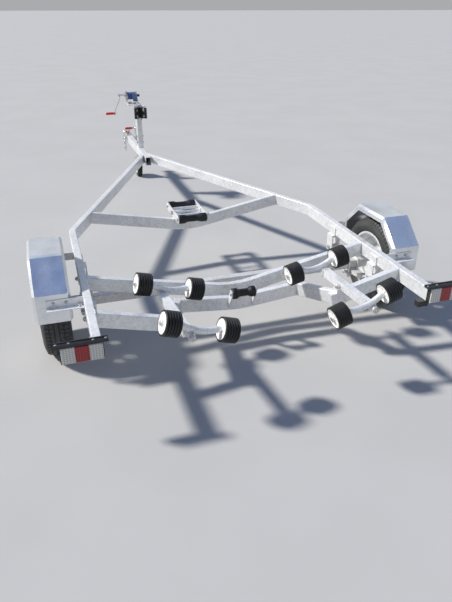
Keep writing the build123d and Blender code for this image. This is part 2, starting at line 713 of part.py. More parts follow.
def hull_roller():
    """A ribbed rubber roller around the X axis, with a recess in each end for its hub disc."""
    half = ROLLER_W / 2
    pitch = ROLLER_W / ROLLER_RIBS
    recess_x = half - ROLLER_RECESS
    recess_r = ROLLER_R - ROLLER_RIM_T
    bore = ROLLER_PIN_R + BORE_GAP
    valley = ROLLER_R - RIB_DEPTH
    left = [(-half, bore), (-half, ROLLER_HUB_R), (-recess_x, ROLLER_HUB_R), (-recess_x, recess_r),
            (-half, recess_r)]
    right = [(-x, r) for x, r in reversed(left)]
    ribs = []
    for rib in range(ROLLER_RIBS):
        x = -half + rib * pitch
        ribs += [(x, valley), (x + pitch * 0.2, ROLLER_R), (x + pitch * 0.8, ROLLER_R)]
    return revolve(make_face(Polyline(*left, *ribs, (half, valley), *right, close=True)), Axis.X)


def rocker_frame(name, end):
    """The frame of a rocker's pivot: end is 1 at the front of the beam and -1 at the back."""
    reach = BEAM_FRONT if end > 0 else -BEAM_REAR
    return beam_frame(name) * Pos(0, reach + end * ARM_Y, BEAM_TUBE / 2)


# Keel rollers

def keel_roller(size):
    """A rubber roller with a waist, around the X axis."""
    length, end_r, waist_r = size
    half = length / 2
    bore = KEEL_PIN_R + BORE_GAP
    edge = 3
    right = [(half * 0.36, waist_r), (half * 0.62, end_r), (half - edge, end_r), (half, end_r - edge)]
    right.append((half, bore))
    left = [(-x, r) for x, r in reversed(right)]
    return revolve(make_face(Polyline(*left, *right, close=True)), Axis.X)


def keel_cradle():
    """Two side plates on a pivot tube, with a roller pin at each end and two cross tubes."""
    inner = CRADLE_PLATE_X
    outer = inner + CRADLE_PLATE_T
    reach = CRADLE_HALF + CRADLE_PLATE_H / 2
    body = None
    for low_x in (-outer, inner):
        plate = across(SlotOverall(2 * reach, CRADLE_PLATE_H), low_x, low_x + CRADLE_PLATE_T, 0, 0)
        body = plate if body is None else body + plate
    for end in (-1, 1):
        body = body + bar_x(KEEL_PIN_R, -outer - KEEL_PIN_OUT, outer + KEEL_PIN_OUT, end * CRADLE_HALF, 0)
        body = body + bar_x(CRADLE_TUBE_R, -outer, outer, end * CRADLE_HALF / 2, 0)
    return body - bar_x(KEEL_PIN_R + BORE_GAP, -outer - 1, outer + 1, 0, 0)


def front_keel_mount():
    """Two lugs on the front cross member and the pin that the cradle rocks on."""
    lug_x = CRADLE_PLATE_X - FACE_GAP
    seat_z = RAIL_TOP - FRONT_MEMBER_DROP - 4
    tip = CRADLE_PLATE_X + CRADLE_PLATE_T + 10
    body = bar_x(KEEL_PIN_R, -tip, tip, FRONT_MEMBER_Y, CRADLE_Z)
    for sign in (-1, 1):
        lug_span = sorted((sign * (lug_x - KEEL_LUG_T), sign * lug_x))
        body = body + solid_box(lug_span, (FRONT_MEMBER_Y - 18, FRONT_MEMBER_Y + 18), (seat_z, CRADLE_Z))
        body = body + bar_x(18, *lug_span, FRONT_MEMBER_Y, CRADLE_Z)
        head_span = sorted((sign * (tip - 8), sign * tip))
        body = body + bar_x(KEEL_PIN_R + 5, *head_span, FRONT_MEMBER_Y, CRADLE_Z)
    under = v_path(FRONT_MEMBER_Y, FRONT_MEMBER_DROP, 2 * CRADLE_PLATE_X)
    return body - solid_tube(under, (0, 1, 0))


def middle_keel_mount():
    """Two plates on the back of the rear member's middle, with the roller's pin."""
    inner = MIDDLE_KEEL_ROLLER[0] / 2 + FACE_GAP
    back = REAR_MIDDLE_Y - TUBE_W / 2
    low = MID_Z - REAR_POINT_DROP - 20
    tip_y = MIDDLE_KEEL_Y - 16
    outline = make_face(Polyline((back, low), (back, low + 50), (MIDDLE_KEEL_Y + 14, MIDDLE_KEEL_Z + 18),
                                 (tip_y, MIDDLE_KEEL_Z + 14), (tip_y, MIDDLE_KEEL_Z - 16), close=True))
    tip = inner + CRADLE_PLATE_T + KEEL_PIN_OUT
    body = bar_x(KEEL_PIN_R, -tip, tip, MIDDLE_KEEL_Y, MIDDLE_KEEL_Z)
    for low_x in (-inner - CRADLE_PLATE_T, inner):
        body = body + across(outline, low_x, low_x + CRADLE_PLATE_T, 0, 0)
    return body


# Winch post, winch and bow stop

def winch_post():
    """A folded channel, open to the front, whose sides widen towards the top, with a foot and a shelf."""
    half = POST_W / 2
    inner = half - POST_T
    profile = make_face(Polyline((POST_Y, RAIL_TOP), (POST_Y + POST_BASE_DEPTH, RAIL_TOP),
                                 (POST_Y + POST_TOP_DEPTH, POST_TOP), (POST_Y, POST_TOP), close=True))
    body = across(profile, POST_X - half, POST_X + half, 0, 0)
    upright = [edge for edge in body.edges().filter_by(Axis.Z) if abs(edge.center().Y - POST_Y) < 1]
    body = fillet(upright, POST_T * 1.6)
    hollow_x = (POST_X - inner, POST_X + inner)
    hollow = solid_box(hollow_x, (POST_Y + POST_T, POST_Y + 2 * POST_TOP_DEPTH), (RAIL_TOP - 1, POST_TOP + 1))
    shelf_x = (WINCH_X - WINCH_HALF - 4, max(WINCH_X + WINCH_HALF + 4, POST_X + half))
    shelf = solid_box(shelf_x, (POST_Y - 6, WINCH_Y + GEAR_STEP + 30), (POST_TOP, POST_TOP + SHELF_T))
    foot_y = (POST_Y + POST_T, POST_Y + POST_BASE_DEPTH + 26)
    foot = solid_box((POST_X - half, DRAWBAR_W / 2), foot_y, (RAIL_TOP, RAIL_TOP + POST_T))
    return body - hollow + shelf + foot - cheek_bolt()


def winch_frame():
    """Two side plates folded up from a base, with the bores for both shafts, a pawl and its pin."""
    base_z = POST_TOP + SHELF_T
    span_y = (WINCH_Y - 46, WINCH_Y + GEAR_STEP + 24)
    shaft_y = WINCH_Y + GEAR_STEP
    body = solid_box((-WINCH_HALF, WINCH_HALF), span_y, (base_z, base_z + WINCH_PLATE_T))
    outline = make_face(Polyline((span_y[0], base_z), (span_y[1], base_z), (span_y[1], WINCH_Z + 14),
                                 (shaft_y - 8, WINCH_Z + 34), (WINCH_Y + 12, WINCH_Z + WINCH_EAR),
                                 (WINCH_Y - 16, WINCH_Z + WINCH_EAR), (span_y[0], WINCH_Z), close=True))
    for low_x in (-WINCH_HALF, WINCH_HALF - WINCH_PLATE_T):
        body = body + across(outline, low_x, low_x + WINCH_PLATE_T, 0, 0)
    pawl_y = shaft_y - 6
    pawl_z = WINCH_Z + RATCHET_R * 1.15 + 2
    inner = -WINCH_HALF + WINCH_PLATE_T
    pawl = make_face(Polyline((pawl_y - 14, pawl_z + 1), (pawl_y - 10, pawl_z), (pawl_y + 20, pawl_z + 4),
                              (pawl_y + 20, pawl_z + 10), (pawl_y + 8, pawl_z + 10), close=True))
    body = body + across(pawl, inner, inner + RATCHET_W + 2, 0, 0)
    reach = WINCH_HALF + 1
    for y in (WINCH_Y, shaft_y):
        body = body - bar_x(WINCH_SHAFT_R + BORE_GAP, -reach, reach, y, WINCH_Z)
    return Pos(WINCH_X, 0, 0) * body


def toothed(teeth, module, form, first):
    """The face of a toothed wheel. Its first tooth stands at the angle first, in degrees."""
    points = []
    for tooth in range(teeth):
        middle = first + tooth * 360 / teeth
        rising = [(height, -share) for height, share in form]
        falling = [(height, share) for height, share in reversed(form)]
        for height, share in rising + falling:
            angle = math.radians(middle + share * 360 / teeth)
            radius = module * (teeth / 2 + height)
            points.append((radius * math.cos(angle), radius * math.sin(angle)))
    return make_face(Polyline(*points, close=True))


GEAR_X = -WINCH_HALF - 2 - GEAR_W


def winch_gear():
    """The large gear, outside the left side plate, with round holes in its web."""
    face = toothed(GEAR_TEETH, GEAR_MODULE, TOOTH_FORM, 0) - Circle(WINCH_SHAFT_R)
    hole_ring = GEAR_MODULE * GEAR_TEETH / 4 + WINCH_SHAFT_R / 2
    face = face - PolarLocations(hole_ring, 6) * Circle(WINCH_SHAFT_R * 0.8)
    return Pos(WINCH_X, 0, 0) * across(face, GEAR_X, GEAR_X + GEAR_W, WINCH_Y, WINCH_Z)


def winch_strap():
    """The strap wound on the drum."""
    half = WINCH_HALF - WINCH_PLATE_T - 2 - DRUM_CHEEK_T
    face = Circle(STRAP_R) - Circle(DRUM_CORE_R)
    return Pos(WINCH_X, 0, 0) * across(face, -half, half, WINCH_Y, WINCH_Z)


def winch_drum():
    """The drum between its two cheeks, on a shaft that stands out to the right."""
    half = WINCH_HALF - WINCH_PLATE_T - 2
    body = bar_x(DRUM_CORE_R, -half, half, WINCH_Y, WINCH_Z)
    body = body + bar_x(WINCH_SHAFT_R, GEAR_X - 4, WINCH_HALF + 30, WINCH_Y, WINCH_Z)
    for low_x in (-half, half - DRUM_CHEEK_T):
        body = body + bar_x(DRUM_R, low_x, low_x + DRUM_CHEEK_T, WINCH_Y, WINCH_Z)
    return Pos(WINCH_X, 0, 0) * body


def winch_crank():
    """The crank shaft with its pinion and ratchet wheel, and the cranked flat bar on its left end."""
    shaft_y = WINCH_Y + GEAR_STEP
    body = bar_x(WINCH_SHAFT_R, -CRANK_OUT, WINCH_HALF + 10, shaft_y, WINCH_Z)
    pinion = toothed(PINION_TEETH, GEAR_MODULE, TOOTH_FORM, 180 / PINION_TEETH)
    body = body + across(pinion, GEAR_X - 1, GEAR_X + GEAR_W, shaft_y, WINCH_Z)
    ratchet_module = 2 * RATCHET_R / RATCHET_TEETH
    ratchet = toothed(RATCHET_TEETH, ratchet_module, RATCHET_FORM, 0)
    ratchet_x = -WINCH_HALF + WINCH_PLATE_T + 1
    body = body + across(ratchet, ratchet_x, ratchet_x + RATCHET_W, shaft_y, WINCH_Z)
    width, thick = CRANK_BAR
    straight = width
    route = [(0, width / 2), (0, -straight), (-CRANK_SPLAY, straight - CRANK_LENGTH)]
    route.append((-CRANK_SPLAY, -CRANK_LENGTH - width / 2))
    points = [(x - CRANK_OUT - thick / 2, shaft_y, WINCH_Z + z) for x, z in route]
    body = body + swept(FilletPolyline(*points, radius=straight), (0, 1, 0), Rectangle(width, thick))
    grip_start = -CRANK_OUT - CRANK_SPLAY - thick
    pin = bar_x(GRIP_PIN_R, grip_start - GRIP_L, grip_start + 1, shaft_y, WINCH_Z - CRANK_LENGTH)
    return Pos(WINCH_X, 0, 0) * (body + pin)


def winch_grip():
    """The grip on the crank's pin, with a collar at each end."""
    start = -CRANK_OUT - CRANK_SPLAY - CRANK_BAR[1]
    collar = 5
    r = GRIP_R
    end = -GRIP_L
    profile = make_face(Polyline((0, GRIP_PIN_R), (0, r + 2), (-collar, r + 2), (-2 * collar, r - 1),
                                 (end / 2, r), (end + collar, r - 1), (end, r - 4), (end, GRIP_PIN_R),
                                 close=True))
    body = revolve(profile, Axis.X)
    return Pos(WINCH_X + start, WINCH_Y + GEAR_STEP, WINCH_Z - CRANK_LENGTH) * body


def stop_wing(side, depth, length, z):
    """One wing of the V: depth is the span of its thickness, from the plate's face towards the hull."""
    low, high = depth
    slab = Rot(0, 0, STOP_ANGLE) * solid_box((-high, -low), (-length, STOP_T), z)
    half = solid_box((0, 2 * STOP_LENGTH), (-2 * STOP_LENGTH, STOP_LENGTH), z)
    return Pos(0, STOP_ROOT_Y, 0) * mirror_side(slab & half, side)


def bow_stop():
    """Two rubber wings in a V that the bow rests in, open to the back."""
    z = (STOP_Z - STOP_H / 2, STOP_Z + STOP_H / 2)
    body = stop_wing(1, (0, STOP_T), STOP_LENGTH, z) + stop_wing(-1, (0, STOP_T), STOP_LENGTH, z)
    upright = body.edges().filter_by(Axis.Z)
    tips = [edge for edge in upright if edge.center().Y < STOP_ROOT_Y - STOP_LENGTH / 2]
    return Pos(POST_X, 0, 0) * fillet(tips, STOP_T * 0.3)


def cheek_bolt():
    reach = POST_W / 2 + STOP_PLATE_T + 8
    return bar_x(CHEEK_BOLT_R, POST_X - reach, POST_X + reach, POST_Y + CHEEK_LAP / 2, STOP_Z)


def bow_stop_bracket():
    """The folded plate behind the rubber, and two cheeks that are bolted to the sides of the post."""
    half_h = STOP_H / 2
    z = (STOP_Z - half_h, STOP_Z + half_h + STOP_PLATE_RISE)
    depth = (-STOP_PLATE_T, 0)
    length = STOP_LENGTH - STOP_T / 2
    body = stop_wing(1, depth, length, z) + stop_wing(-1, depth, length, z)
    front = POST_Y + CHEEK_LAP
    back = STOP_ROOT_Y - 40
    low = STOP_Z - half_h
    outline = make_face(Polyline((back, low + 20), (back, low + 76), (front, low + 76), (front, low),
                                 (POST_Y, low - 30), close=True))
    half = POST_W / 2
    angle = math.radians(STOP_ANGLE)
    reach = 3 * STOP_LENGTH
    far = (reach * math.sin(angle), STOP_ROOT_Y - reach * math.cos(angle))
    hull_side = make_face(Polyline((0, STOP_ROOT_Y), far, (-far[0], far[1]), close=True))
    hull_side = extrude(hull_side, 2 * STOP_Z)
    for low_x in (-half - STOP_PLATE_T, half):
        body = body + (across(outline, low_x, low_x + STOP_PLATE_T, 0, 0) - hull_side)
    return Pos(POST_X, 0, 0) * body + cheek_bolt()


def winch_hook():
    """The strap's hook, hung over the root of the folded plate, and its ring."""
    over_z = STOP_Z + STOP_H / 2 + STOP_PLATE_RISE + HOOK_R + FACE_GAP
    start = (-14, STOP_ROOT_Y + 34, over_z + 16)
    over = [(POST_X, STOP_ROOT_Y + 6, over_z), (POST_X + 7, STOP_ROOT_Y - 14, over_z)]
    path = FilletPolyline(start, *over, (POST_X + 9, STOP_ROOT_Y - 19, over_z - 16), radius=4)
    body = sweep(Plane(origin=path @ 0, z_dir=path % 0) * Circle(HOOK_R), path=path)
    width, length = HOOK_EYE
    up = Vector(0, 0.7, 0.7)
    plane = Plane(origin=Vector(*start) + up * length / 2, x_dir=(1, 0, 0), z_dir=Vector(1, 0, 0).cross(up))
    loop = (plane * RectangleRounded(width, length, length / 3)).wire()
    ring = sweep(Plane(origin=loop @ 0, z_dir=loop % 0) * Circle(HOOK_R * 0.7), path=loop)
    return body + ring


# Coupling, chain and jockey wheel

COUPLING_START = DRAWBAR_END_Y - COUPLING_LAP
CHAIN_X = -COUPLING_W / 2 - 20
CHAIN_Y = COUPLING_START + 34
CHAIN_TOP = RAIL_TOP - DRAWBAR_H / 2
SOCKET_Y = COUPLING_START + COUPLING_L - HEAD_BACK
COUPLING_TOP = RAIL_TOP + COUPLING_T


def coupling_shape(inset):
    """The pressed body: as wide as the drawbar at the back, drawn in to a neck before the head."""
    half = COUPLING_W / 2 - inset
    neck = NECK_W / 2 - inset
    back = COUPLING_START - (1 if inset else 0)
    shoulder = DRAWBAR_END_Y + 16
    top = COUPLING_TOP - inset
    low = COUPLING_TOP - COUPLING_H - (1 if inset else 0)
    head_low = COUPLING_TOP - HEAD_H - (1 if inset else 0)
    right = [(half, back), (half, shoulder), (neck, shoulder + 44), (neck, SOCKET_Y)]
    left = [(-x, y) for x, y in reversed(right)]
    plan = make_face(Polyline(*right, *left, close=True))
    profile = make_face(Polyline((back, low), (shoulder, low), (shoulder + 50, head_low),
                                 (SOCKET_Y, head_low), (SOCKET_Y, top), (back, top), close=True))
    return extrude(plan, 2 * RAIL_TOP) & across(profile, -COUPLING_W, COUPLING_W, 0, 0)


def coupling_body():
    """A pressed coupling over the end of the drawbar, with a domed head and a socket for the ball."""
    head_low = COUPLING_TOP - HEAD_H
    shell = coupling_shape(0)
    top_edges = shell.faces().sort_by(Axis.Z)[-1].edges()
    shell = fillet([edge for edge in top_edges if abs(edge.center().X) > 1], COUPLING_T * 0.9)
    shell = shell - coupling_shape(COUPLING_T)
    dome = Pos(0, SOCKET_Y, head_low + HEAD_H / 2) * Cylinder(HEAD_R, HEAD_H)
    rims = dome.edges().filter_by(GeomType.CIRCLE).sort_by(Axis.Z)
    body = shell + fillet(rims[-1:], HEAD_H * 0.35)
    socket = bar_z(BALL_R, 0, head_low + BALL_DEPTH, 0, SOCKET_Y)
    body = body - socket - Pos(0, SOCKET_Y, head_low + BALL_DEPTH) * Sphere(BALL_R)
    ear_in = LEVER_W / 2 + FACE_GAP
    pin_z = COUPLING_TOP + LEVER_PIN_RISE
    outline = make_face(Polyline((LEVER_Y - 16, COUPLING_TOP - 1), (LEVER_Y + 16, COUPLING_TOP - 1),
                                 (LEVER_Y + 9, pin_z + 9), (LEVER_Y - 9, pin_z + 9), close=True))
    for low_x in (-ear_in - LEVER_EAR_T, ear_in):
        body = body + across(outline, low_x, low_x + LEVER_EAR_T, 0, 0)
    pin_end = ear_in + LEVER_EAR_T + 3
    body = body + bar_x(LEVER_PIN_R, -pin_end, pin_end, LEVER_Y, pin_z)
    half = COUPLING_W / 2
    for sign in (-1, 1):
        span = sorted((sign * half, sign * (half + COUPLING_BOLT_R)))
        for y, z in ((COUPLING_START + COUPLING_LAP * 0.8, RAIL_TOP - DRAWBAR_H / 2), (CHAIN_Y, CHAIN_TOP)):
            if (sign, y) != (-1, CHAIN_Y):
                body = body + across(RegularPolygon(1.8 * COUPLING_BOLT_R, 6), *span, y, z)
    return body


def coupling_lever():
    """The latch lever on top of the coupling: a hub on the pin and a pressed handle to the rear."""
    pivot_z = COUPLING_TOP + LEVER_PIN_RISE
    half = LEVER_W / 2
    tip_y = LEVER_Y - LEVER_L
    above = [(LEVER_Y, -6), (LEVER_Y + 4, 9), (LEVER_Y - 40, 24), (tip_y, 34), (tip_y, 22), (LEVER_Y - 44, 8)]
    outline = make_face(Polyline(*[(y, pivot_z + rise) for y, rise in above], close=True))
    handle = across(outline, -half, half, 0, 0)
    tip = [edge for edge in handle.edges() if edge.center().Y < tip_y + 1 and abs(edge.center().X) > half - 1]
    body = fillet(tip, LEVER_W / 3) + bar_x(LEVER_HUB_R, -half, half, LEVER_Y, pivot_z)
    return body - bar_x(LEVER_PIN_R + BORE_GAP, -half - 1, half + 1, LEVER_Y, pivot_z)


def chain_link():
    """One link in the YZ plane, long in Z, of six-sided wire."""
    half = CHAIN_LINK_STRAIGHT / 2
    radius = CHAIN_LINK_R
    path = Wire([
        Line((0, radius, -half), (0, radius, half)),
        ThreePointArc((0, radius, half), (0, 0, half + radius), (0, -radius, half)),
        Line((0, -radius, half), (0, -radius, -half)),
        ThreePointArc((0, -radius, -half), (0, 0, -half - radius), (0, radius, -half)),
    ])
    wire = Plane(origin=(0, radius, -half), z_dir=(0, 0, 1)) * RegularPolygon(CHAIN_WIRE_R, 6)
    return sweep(wire, path=path)


def safety_chain():
    """The chain hanging from its bolt on the left of the coupling, and the bolt."""
    pitch = CHAIN_LINK_STRAIGHT + 2 * CHAIN_LINK_R - 2 * CHAIN_WIRE_R - FACE_GAP
    bolt_r = CHAIN_LINK_R - CHAIN_WIRE_R - FACE_GAP
    bolt = bar_x(bolt_r, CHAIN_X - 14, -COUPLING_W / 2, CHAIN_Y, CHAIN_TOP)
    bolt = bolt + across(RegularPolygon(2 * bolt_r, 6), CHAIN_X - 18, CHAIN_X - 12, CHAIN_Y, CHAIN_TOP)
    pieces = [bolt]
    link = chain_link()
    for number in range(CHAIN_LINKS):
        z = CHAIN_TOP - CHAIN_LINK_STRAIGHT / 2 - number * pitch
        pieces.append(Pos(CHAIN_X, CHAIN_Y, z) * Rot(0, 0, 90 * (number % 2)) * link)
    return pieces


def jockey_clamp():
    """The clamp on the right of the drawbar that holds the outer tube, with its tightening screw."""
    low = RAIL_TOP - DRAWBAR_H
    side = DRAWBAR_W / 2
    ring_r = JOCKEY_TUBE_R + CLAMP_T
    span_z = (low + 10, RAIL_TOP - 10)
    body = bar_z(ring_r, *span_z, JOCKEY_X, JOCKEY_Y)
    body = body + solid_box((side, JOCKEY_X), (JOCKEY_Y - ring_r * 0.8, JOCKEY_Y + ring_r * 0.8), span_z)
    pad_y = (JOCKEY_Y - CLAMP_PAD_HALF, JOCKEY_Y + CLAMP_PAD_HALF)
    body = body + solid_box((side, side + CLAMP_PAD_T), pad_y, (low, RAIL_TOP))
    body = body - bar_z(JOCKEY_TUBE_R, 0, 2 * RAIL_TOP, JOCKEY_X, JOCKEY_Y)
    screw_z = RAIL_TOP - DRAWBAR_H / 2
    start = JOCKEY_X + JOCKEY_TUBE_R
    end = start + CLAMP_T + CLAMP_SCREW_L
    body = body + bar_x(CLAMP_SCREW_R, start, end, JOCKEY_Y, screw_z)
    body = body + bar_x(2 * CLAMP_SCREW_R, start + 2, start + 2 * CLAMP_T, JOCKEY_Y, screw_z)
    half = CLAMP_SCREW_L
    return body + bar_z(CLAMP_SCREW_R * 0.7, screw_z - half, screw_z + half, end - CLAMP_SCREW_R, JOCKEY_Y)


def jockey_tube():
    """The outer tube with its cap and the shaft of the winding handle, which points to the left."""
    top = JOCKEY_TUBE_TOP
    tube = bar_z(JOCKEY_TUBE_R, JOCKEY_TUBE_BOTTOM, top, JOCKEY_X, JOCKEY_Y)
    tube = tube - bar_z(JOCKEY_STEM_R + BORE_GAP, JOCKEY_TUBE_BOTTOM - 1, top - CLAMP_T, JOCKEY_X, JOCKEY_Y)
    cap = bar_z(JOCKEY_TUBE_R + 3, top - 6, top + JOCKEY_CAP_H, JOCKEY_X, JOCKEY_Y)
    cap = fillet(cap.edges().filter_by(GeomType.CIRCLE).sort_by(Axis.Z)[-1:], JOCKEY_CAP_H / 3)
    shaft_x = JOCKEY_X - JOCKEY_HANDLE_X
    shaft = bar_x(JOCKEY_SHAFT_R, shaft_x - JOCKEY_GRIP_L, JOCKEY_X, JOCKEY_Y, top + JOCKEY_CAP_H / 2)
    collar = bar_x(JOCKEY_SHAFT_R + 3, shaft_x, JOCKEY_X - JOCKEY_TUBE_R, JOCKEY_Y, top + JOCKEY_CAP_H / 2)
    return tube + cap + shaft + collar


def jockey_grip():
    """The red grip on the handle's shaft."""
    r = JOCKEY_GRIP_R
    end = -JOCKEY_GRIP_L
    profile = make_face(Polyline((0, JOCKEY_SHAFT_R), (0, r), (-6, r + 2), (-12, r), (end + 6, r),
                                 (end, r - 4), (end, JOCKEY_SHAFT_R), close=True))
    place = Pos(JOCKEY_X - JOCKEY_HANDLE_X, JOCKEY_Y, JOCKEY_TUBE_TOP + JOCKEY_CAP_H / 2)
    return place * revolve(profile, Axis.X)


def jockey_stem():
    """The inner tube, which the handle winds up and down."""
    stem_top = JOCKEY_STEM_BOTTOM + JOCKEY_STEM_L
    stem = bar_z(JOCKEY_STEM_R, JOCKEY_STEM_BOTTOM, stem_top, JOCKEY_X, JOCKEY_Y)
    bore_top = JOCKEY_STEM_BOTTOM + JOCKEY_PIN_L + 2
    return stem - bar_z(JOCKEY_PIN_R + BORE_GAP, JOCKEY_STEM_BOTTOM - 1, bore_top, JOCKEY_X, JOCKEY_Y)


def jockey_fork():
    """The castor fork with the wheel's pin."""
    cheek_x = JOCKEY_WHEEL_W / 2 + FORK_GAP
    crown_top = JOCKEY_STEM_BOTTOM - 8
    crown_low = crown_top - JOCKEY_CROWN_T
    front = JOCKEY_AHEAD + JOCKEY_STEM_R
    back = -JOCKEY_STEM_R - 4
    body = solid_box((-cheek_x - FORK_T, cheek_x + FORK_T), (back, front), (crown_low, crown_top))
    body = body + bar_z(JOCKEY_STEM_R, crown_top, JOCKEY_STEM_BOTTOM - FACE_GAP, 0, 0)
    body = body + bar_z(JOCKEY_PIN_R, crown_top, JOCKEY_STEM_BOTTOM + JOCKEY_PIN_L, 0, 0)
    boss_r = 18
    boss_span = (JOCKEY_AHEAD - boss_r, JOCKEY_AHEAD + boss_r)
    outline = make_face(Polyline((back, crown_top), (front, crown_top), (boss_span[1], JOCKEY_WHEEL_R),
                                 (boss_span[0], JOCKEY_WHEEL_R), close=True))
    boss = Pos(JOCKEY_AHEAD, JOCKEY_WHEEL_R) * Circle(boss_r)
    for low_x in (-cheek_x - FORK_T, cheek_x):
        body = body + across(outline + boss, low_x, low_x + FORK_T, 0, 0)
    pin_end = cheek_x + FORK_T + 8
    body = body + bar_x(JOCKEY_AXLE_R, -pin_end, pin_end, JOCKEY_AHEAD, JOCKEY_WHEEL_R)
    return Pos(JOCKEY_X, JOCKEY_Y, 0) * body


def jockey_wheel():
    """A pressed wheel with a solid rubber tyre."""
    half = JOCKEY_WHEEL_W / 2
    r = JOCKEY_WHEEL_R
    bore = JOCKEY_AXLE_R + BORE_GAP
    web = half - 12
    right = [(web, r), (half - 2, r * 0.9), (half - 2, r * 0.72), (web, r * 0.66), (web, r * 0.3),
             (half, r * 0.24), (half, bore)]
    left = [(-x, radius) for x, radius in reversed(right)]
    wheel = revolve(make_face(Polyline(*left, *right, close=True)), Axis.X)
    return Pos(JOCKEY_X, JOCKEY_Y + JOCKEY_AHEAD, r) * wheel


def running_gear(name, side):
    """The nodes of one side that stand on the axle: tyre and rim, and the guard over them."""
    place = Pos(side * WHEEL_X, WHEEL_Y, AXLE_Z)
    return {"tyre_" + name: place * tyre(), "rim_" + name: place * rim(side), "guard_" + name: guard(side)}


def roller_set(name, side):
    """The nodes of one side that carry the hull: a beam, its two rockers and their four rollers."""
    nodes = {"rocker_beam_" + name: rocker_beam(name)}
    for end_name, end in (("front", 1), ("rear", -1)):
        label = f"{end_name}_{name}"
        place = rocker_frame(name, end)
        slope = ROCKER_SLOPES[label]
        nodes["rocker_" + label] = place * rocker_arm(side, slope)
        centre, along, _ = arm_ends(side, slope)
        for spot, sign in (("outer", 1), ("inner", -1)):
            point = centre + along * sign * ROLLER_SPREAD / 2
            nodes[f"roller_{label}_{spot}"] = place * Pos(*point) * Rot(0, -side * slope, 0) * hull_roller()
    return nodes


def keel_set():
    """The nodes under the keel: the cradle with its two rollers, and the roller on the rear member."""
    front_roller = keel_roller(FRONT_KEEL_ROLLER)
    pivot = Pos(0, FRONT_MEMBER_Y, CRADLE_Z)
    return {
        "keel_cradle": pivot * keel_cradle(),
        "front_keel_mount": front_keel_mount(),
        "keel_roller_front": pivot * Pos(0, CRADLE_HALF, 0) * front_roller,
        "keel_roller_rear": pivot * Pos(0, -CRADLE_HALF, 0) * front_roller,
        "keel_roller_middle": Pos(0, MIDDLE_KEEL_Y, MIDDLE_KEEL_Z) * keel_roller(MIDDLE_KEEL_ROLLER),
        "middle_keel_mount": middle_keel_mount(),
    }


def front_end():
    """The nodes on the drawbar: the winch on its post, the bow stop, the coupling and the jockey wheel."""
    return {
        "winch_post": winch_post(),
        "winch_frame": winch_frame(),
        "winch_drum": winch_drum(),
        "winch_gear": winch_gear(),
        "winch_strap": winch_strap(),
        "winch_crank": winch_crank(),
        "winch_grip": winch_grip(),
        "winch_hook": winch_hook(),
        "bow_stop": bow_stop(),
        "bow_stop_bracket": bow_stop_bracket(),
        "coupling_body": coupling_body(),
        "coupling_lever": coupling_lever(),
        "jockey_clamp": jockey_clamp(),
        "jockey_tube": jockey_tube(),
        "jockey_grip": jockey_grip(),
        "jockey_stem": jockey_stem(),
        "jockey_fork": jockey_fork(),
        "jockey_wheel": jockey_wheel(),
    }


def build_nodes():
    """Every node by name, in the frame whose y = 0 is at the rear ends of the rails."""
    nodes = {
        "drawbar": drawbar(),
        "cross_member_front": v_member(FRONT_MEMBER_Y, FRONT_MEMBER_DROP),
        "cross_member_middle": v_member(MIDDLE_MEMBER_Y, MIDDLE_MEMBER_DROP),
        "cross_member_rear": rear_member(),
        "axle_beam": axle_beam(),
        "plate_lamp": plate_lamp(),
    }
    for name, side in SIDES.items():
        nodes["rail_" + name] = rail(side)
        nodes.update(running_gear(name, side))
        nodes.update(roller_set(name, side))
    nodes.update(keel_set())
    nodes.update(front_end())
    nodes = {name: [shape] for name, shape in nodes.items()}
    both = list(SIDES.values())
    nodes["leaf_springs"] = [spring(side) for side in both]
    nodes["spring_hangers"] = [piece for side in both for piece in hangers(side)]
    nodes["guard_brackets"] = [piece for side in both for piece in guard_brackets(side)]
    nodes["lamp_bars"] = [lamp_bar(side) for side in both]
    nodes["lamp_brackets"] = [lamp_bracket(side) for side in both]
    nodes["lamp_lenses_red"] = [lamp_lens(side, 0) for side in both]
    nodes["lamp_lenses_clear"] = [lamp_lens(side, part) for side in both for part in (-1, 1)]
    nodes["safety_chain"] = safety_chain()
    return nodes


def main():
    os.makedirs("parts", exist_ok=True)
    solids = {}
    for name, shapes in build_nodes().items():
        solids[name] = [solid for shape in shapes for solid in shape.solids()]
    box = Compound([solid for pieces in solids.values() for solid in pieces]).bounding_box()
    middle = (box.min.Y + box.max.Y) / 2
    print("box", box.min, box.max, "middle", middle)
    for name, pieces in solids.items():
        moved = [Pos(0, -middle, 0) * solid for solid in pieces]
        shape = Compound(children=moved, label=name) if len(moved) > 1 else moved[0]
        export_step(shape, f"parts/{name}.step")


main()
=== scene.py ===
import bpy
import json
import math
from mathutils import Matrix, Vector


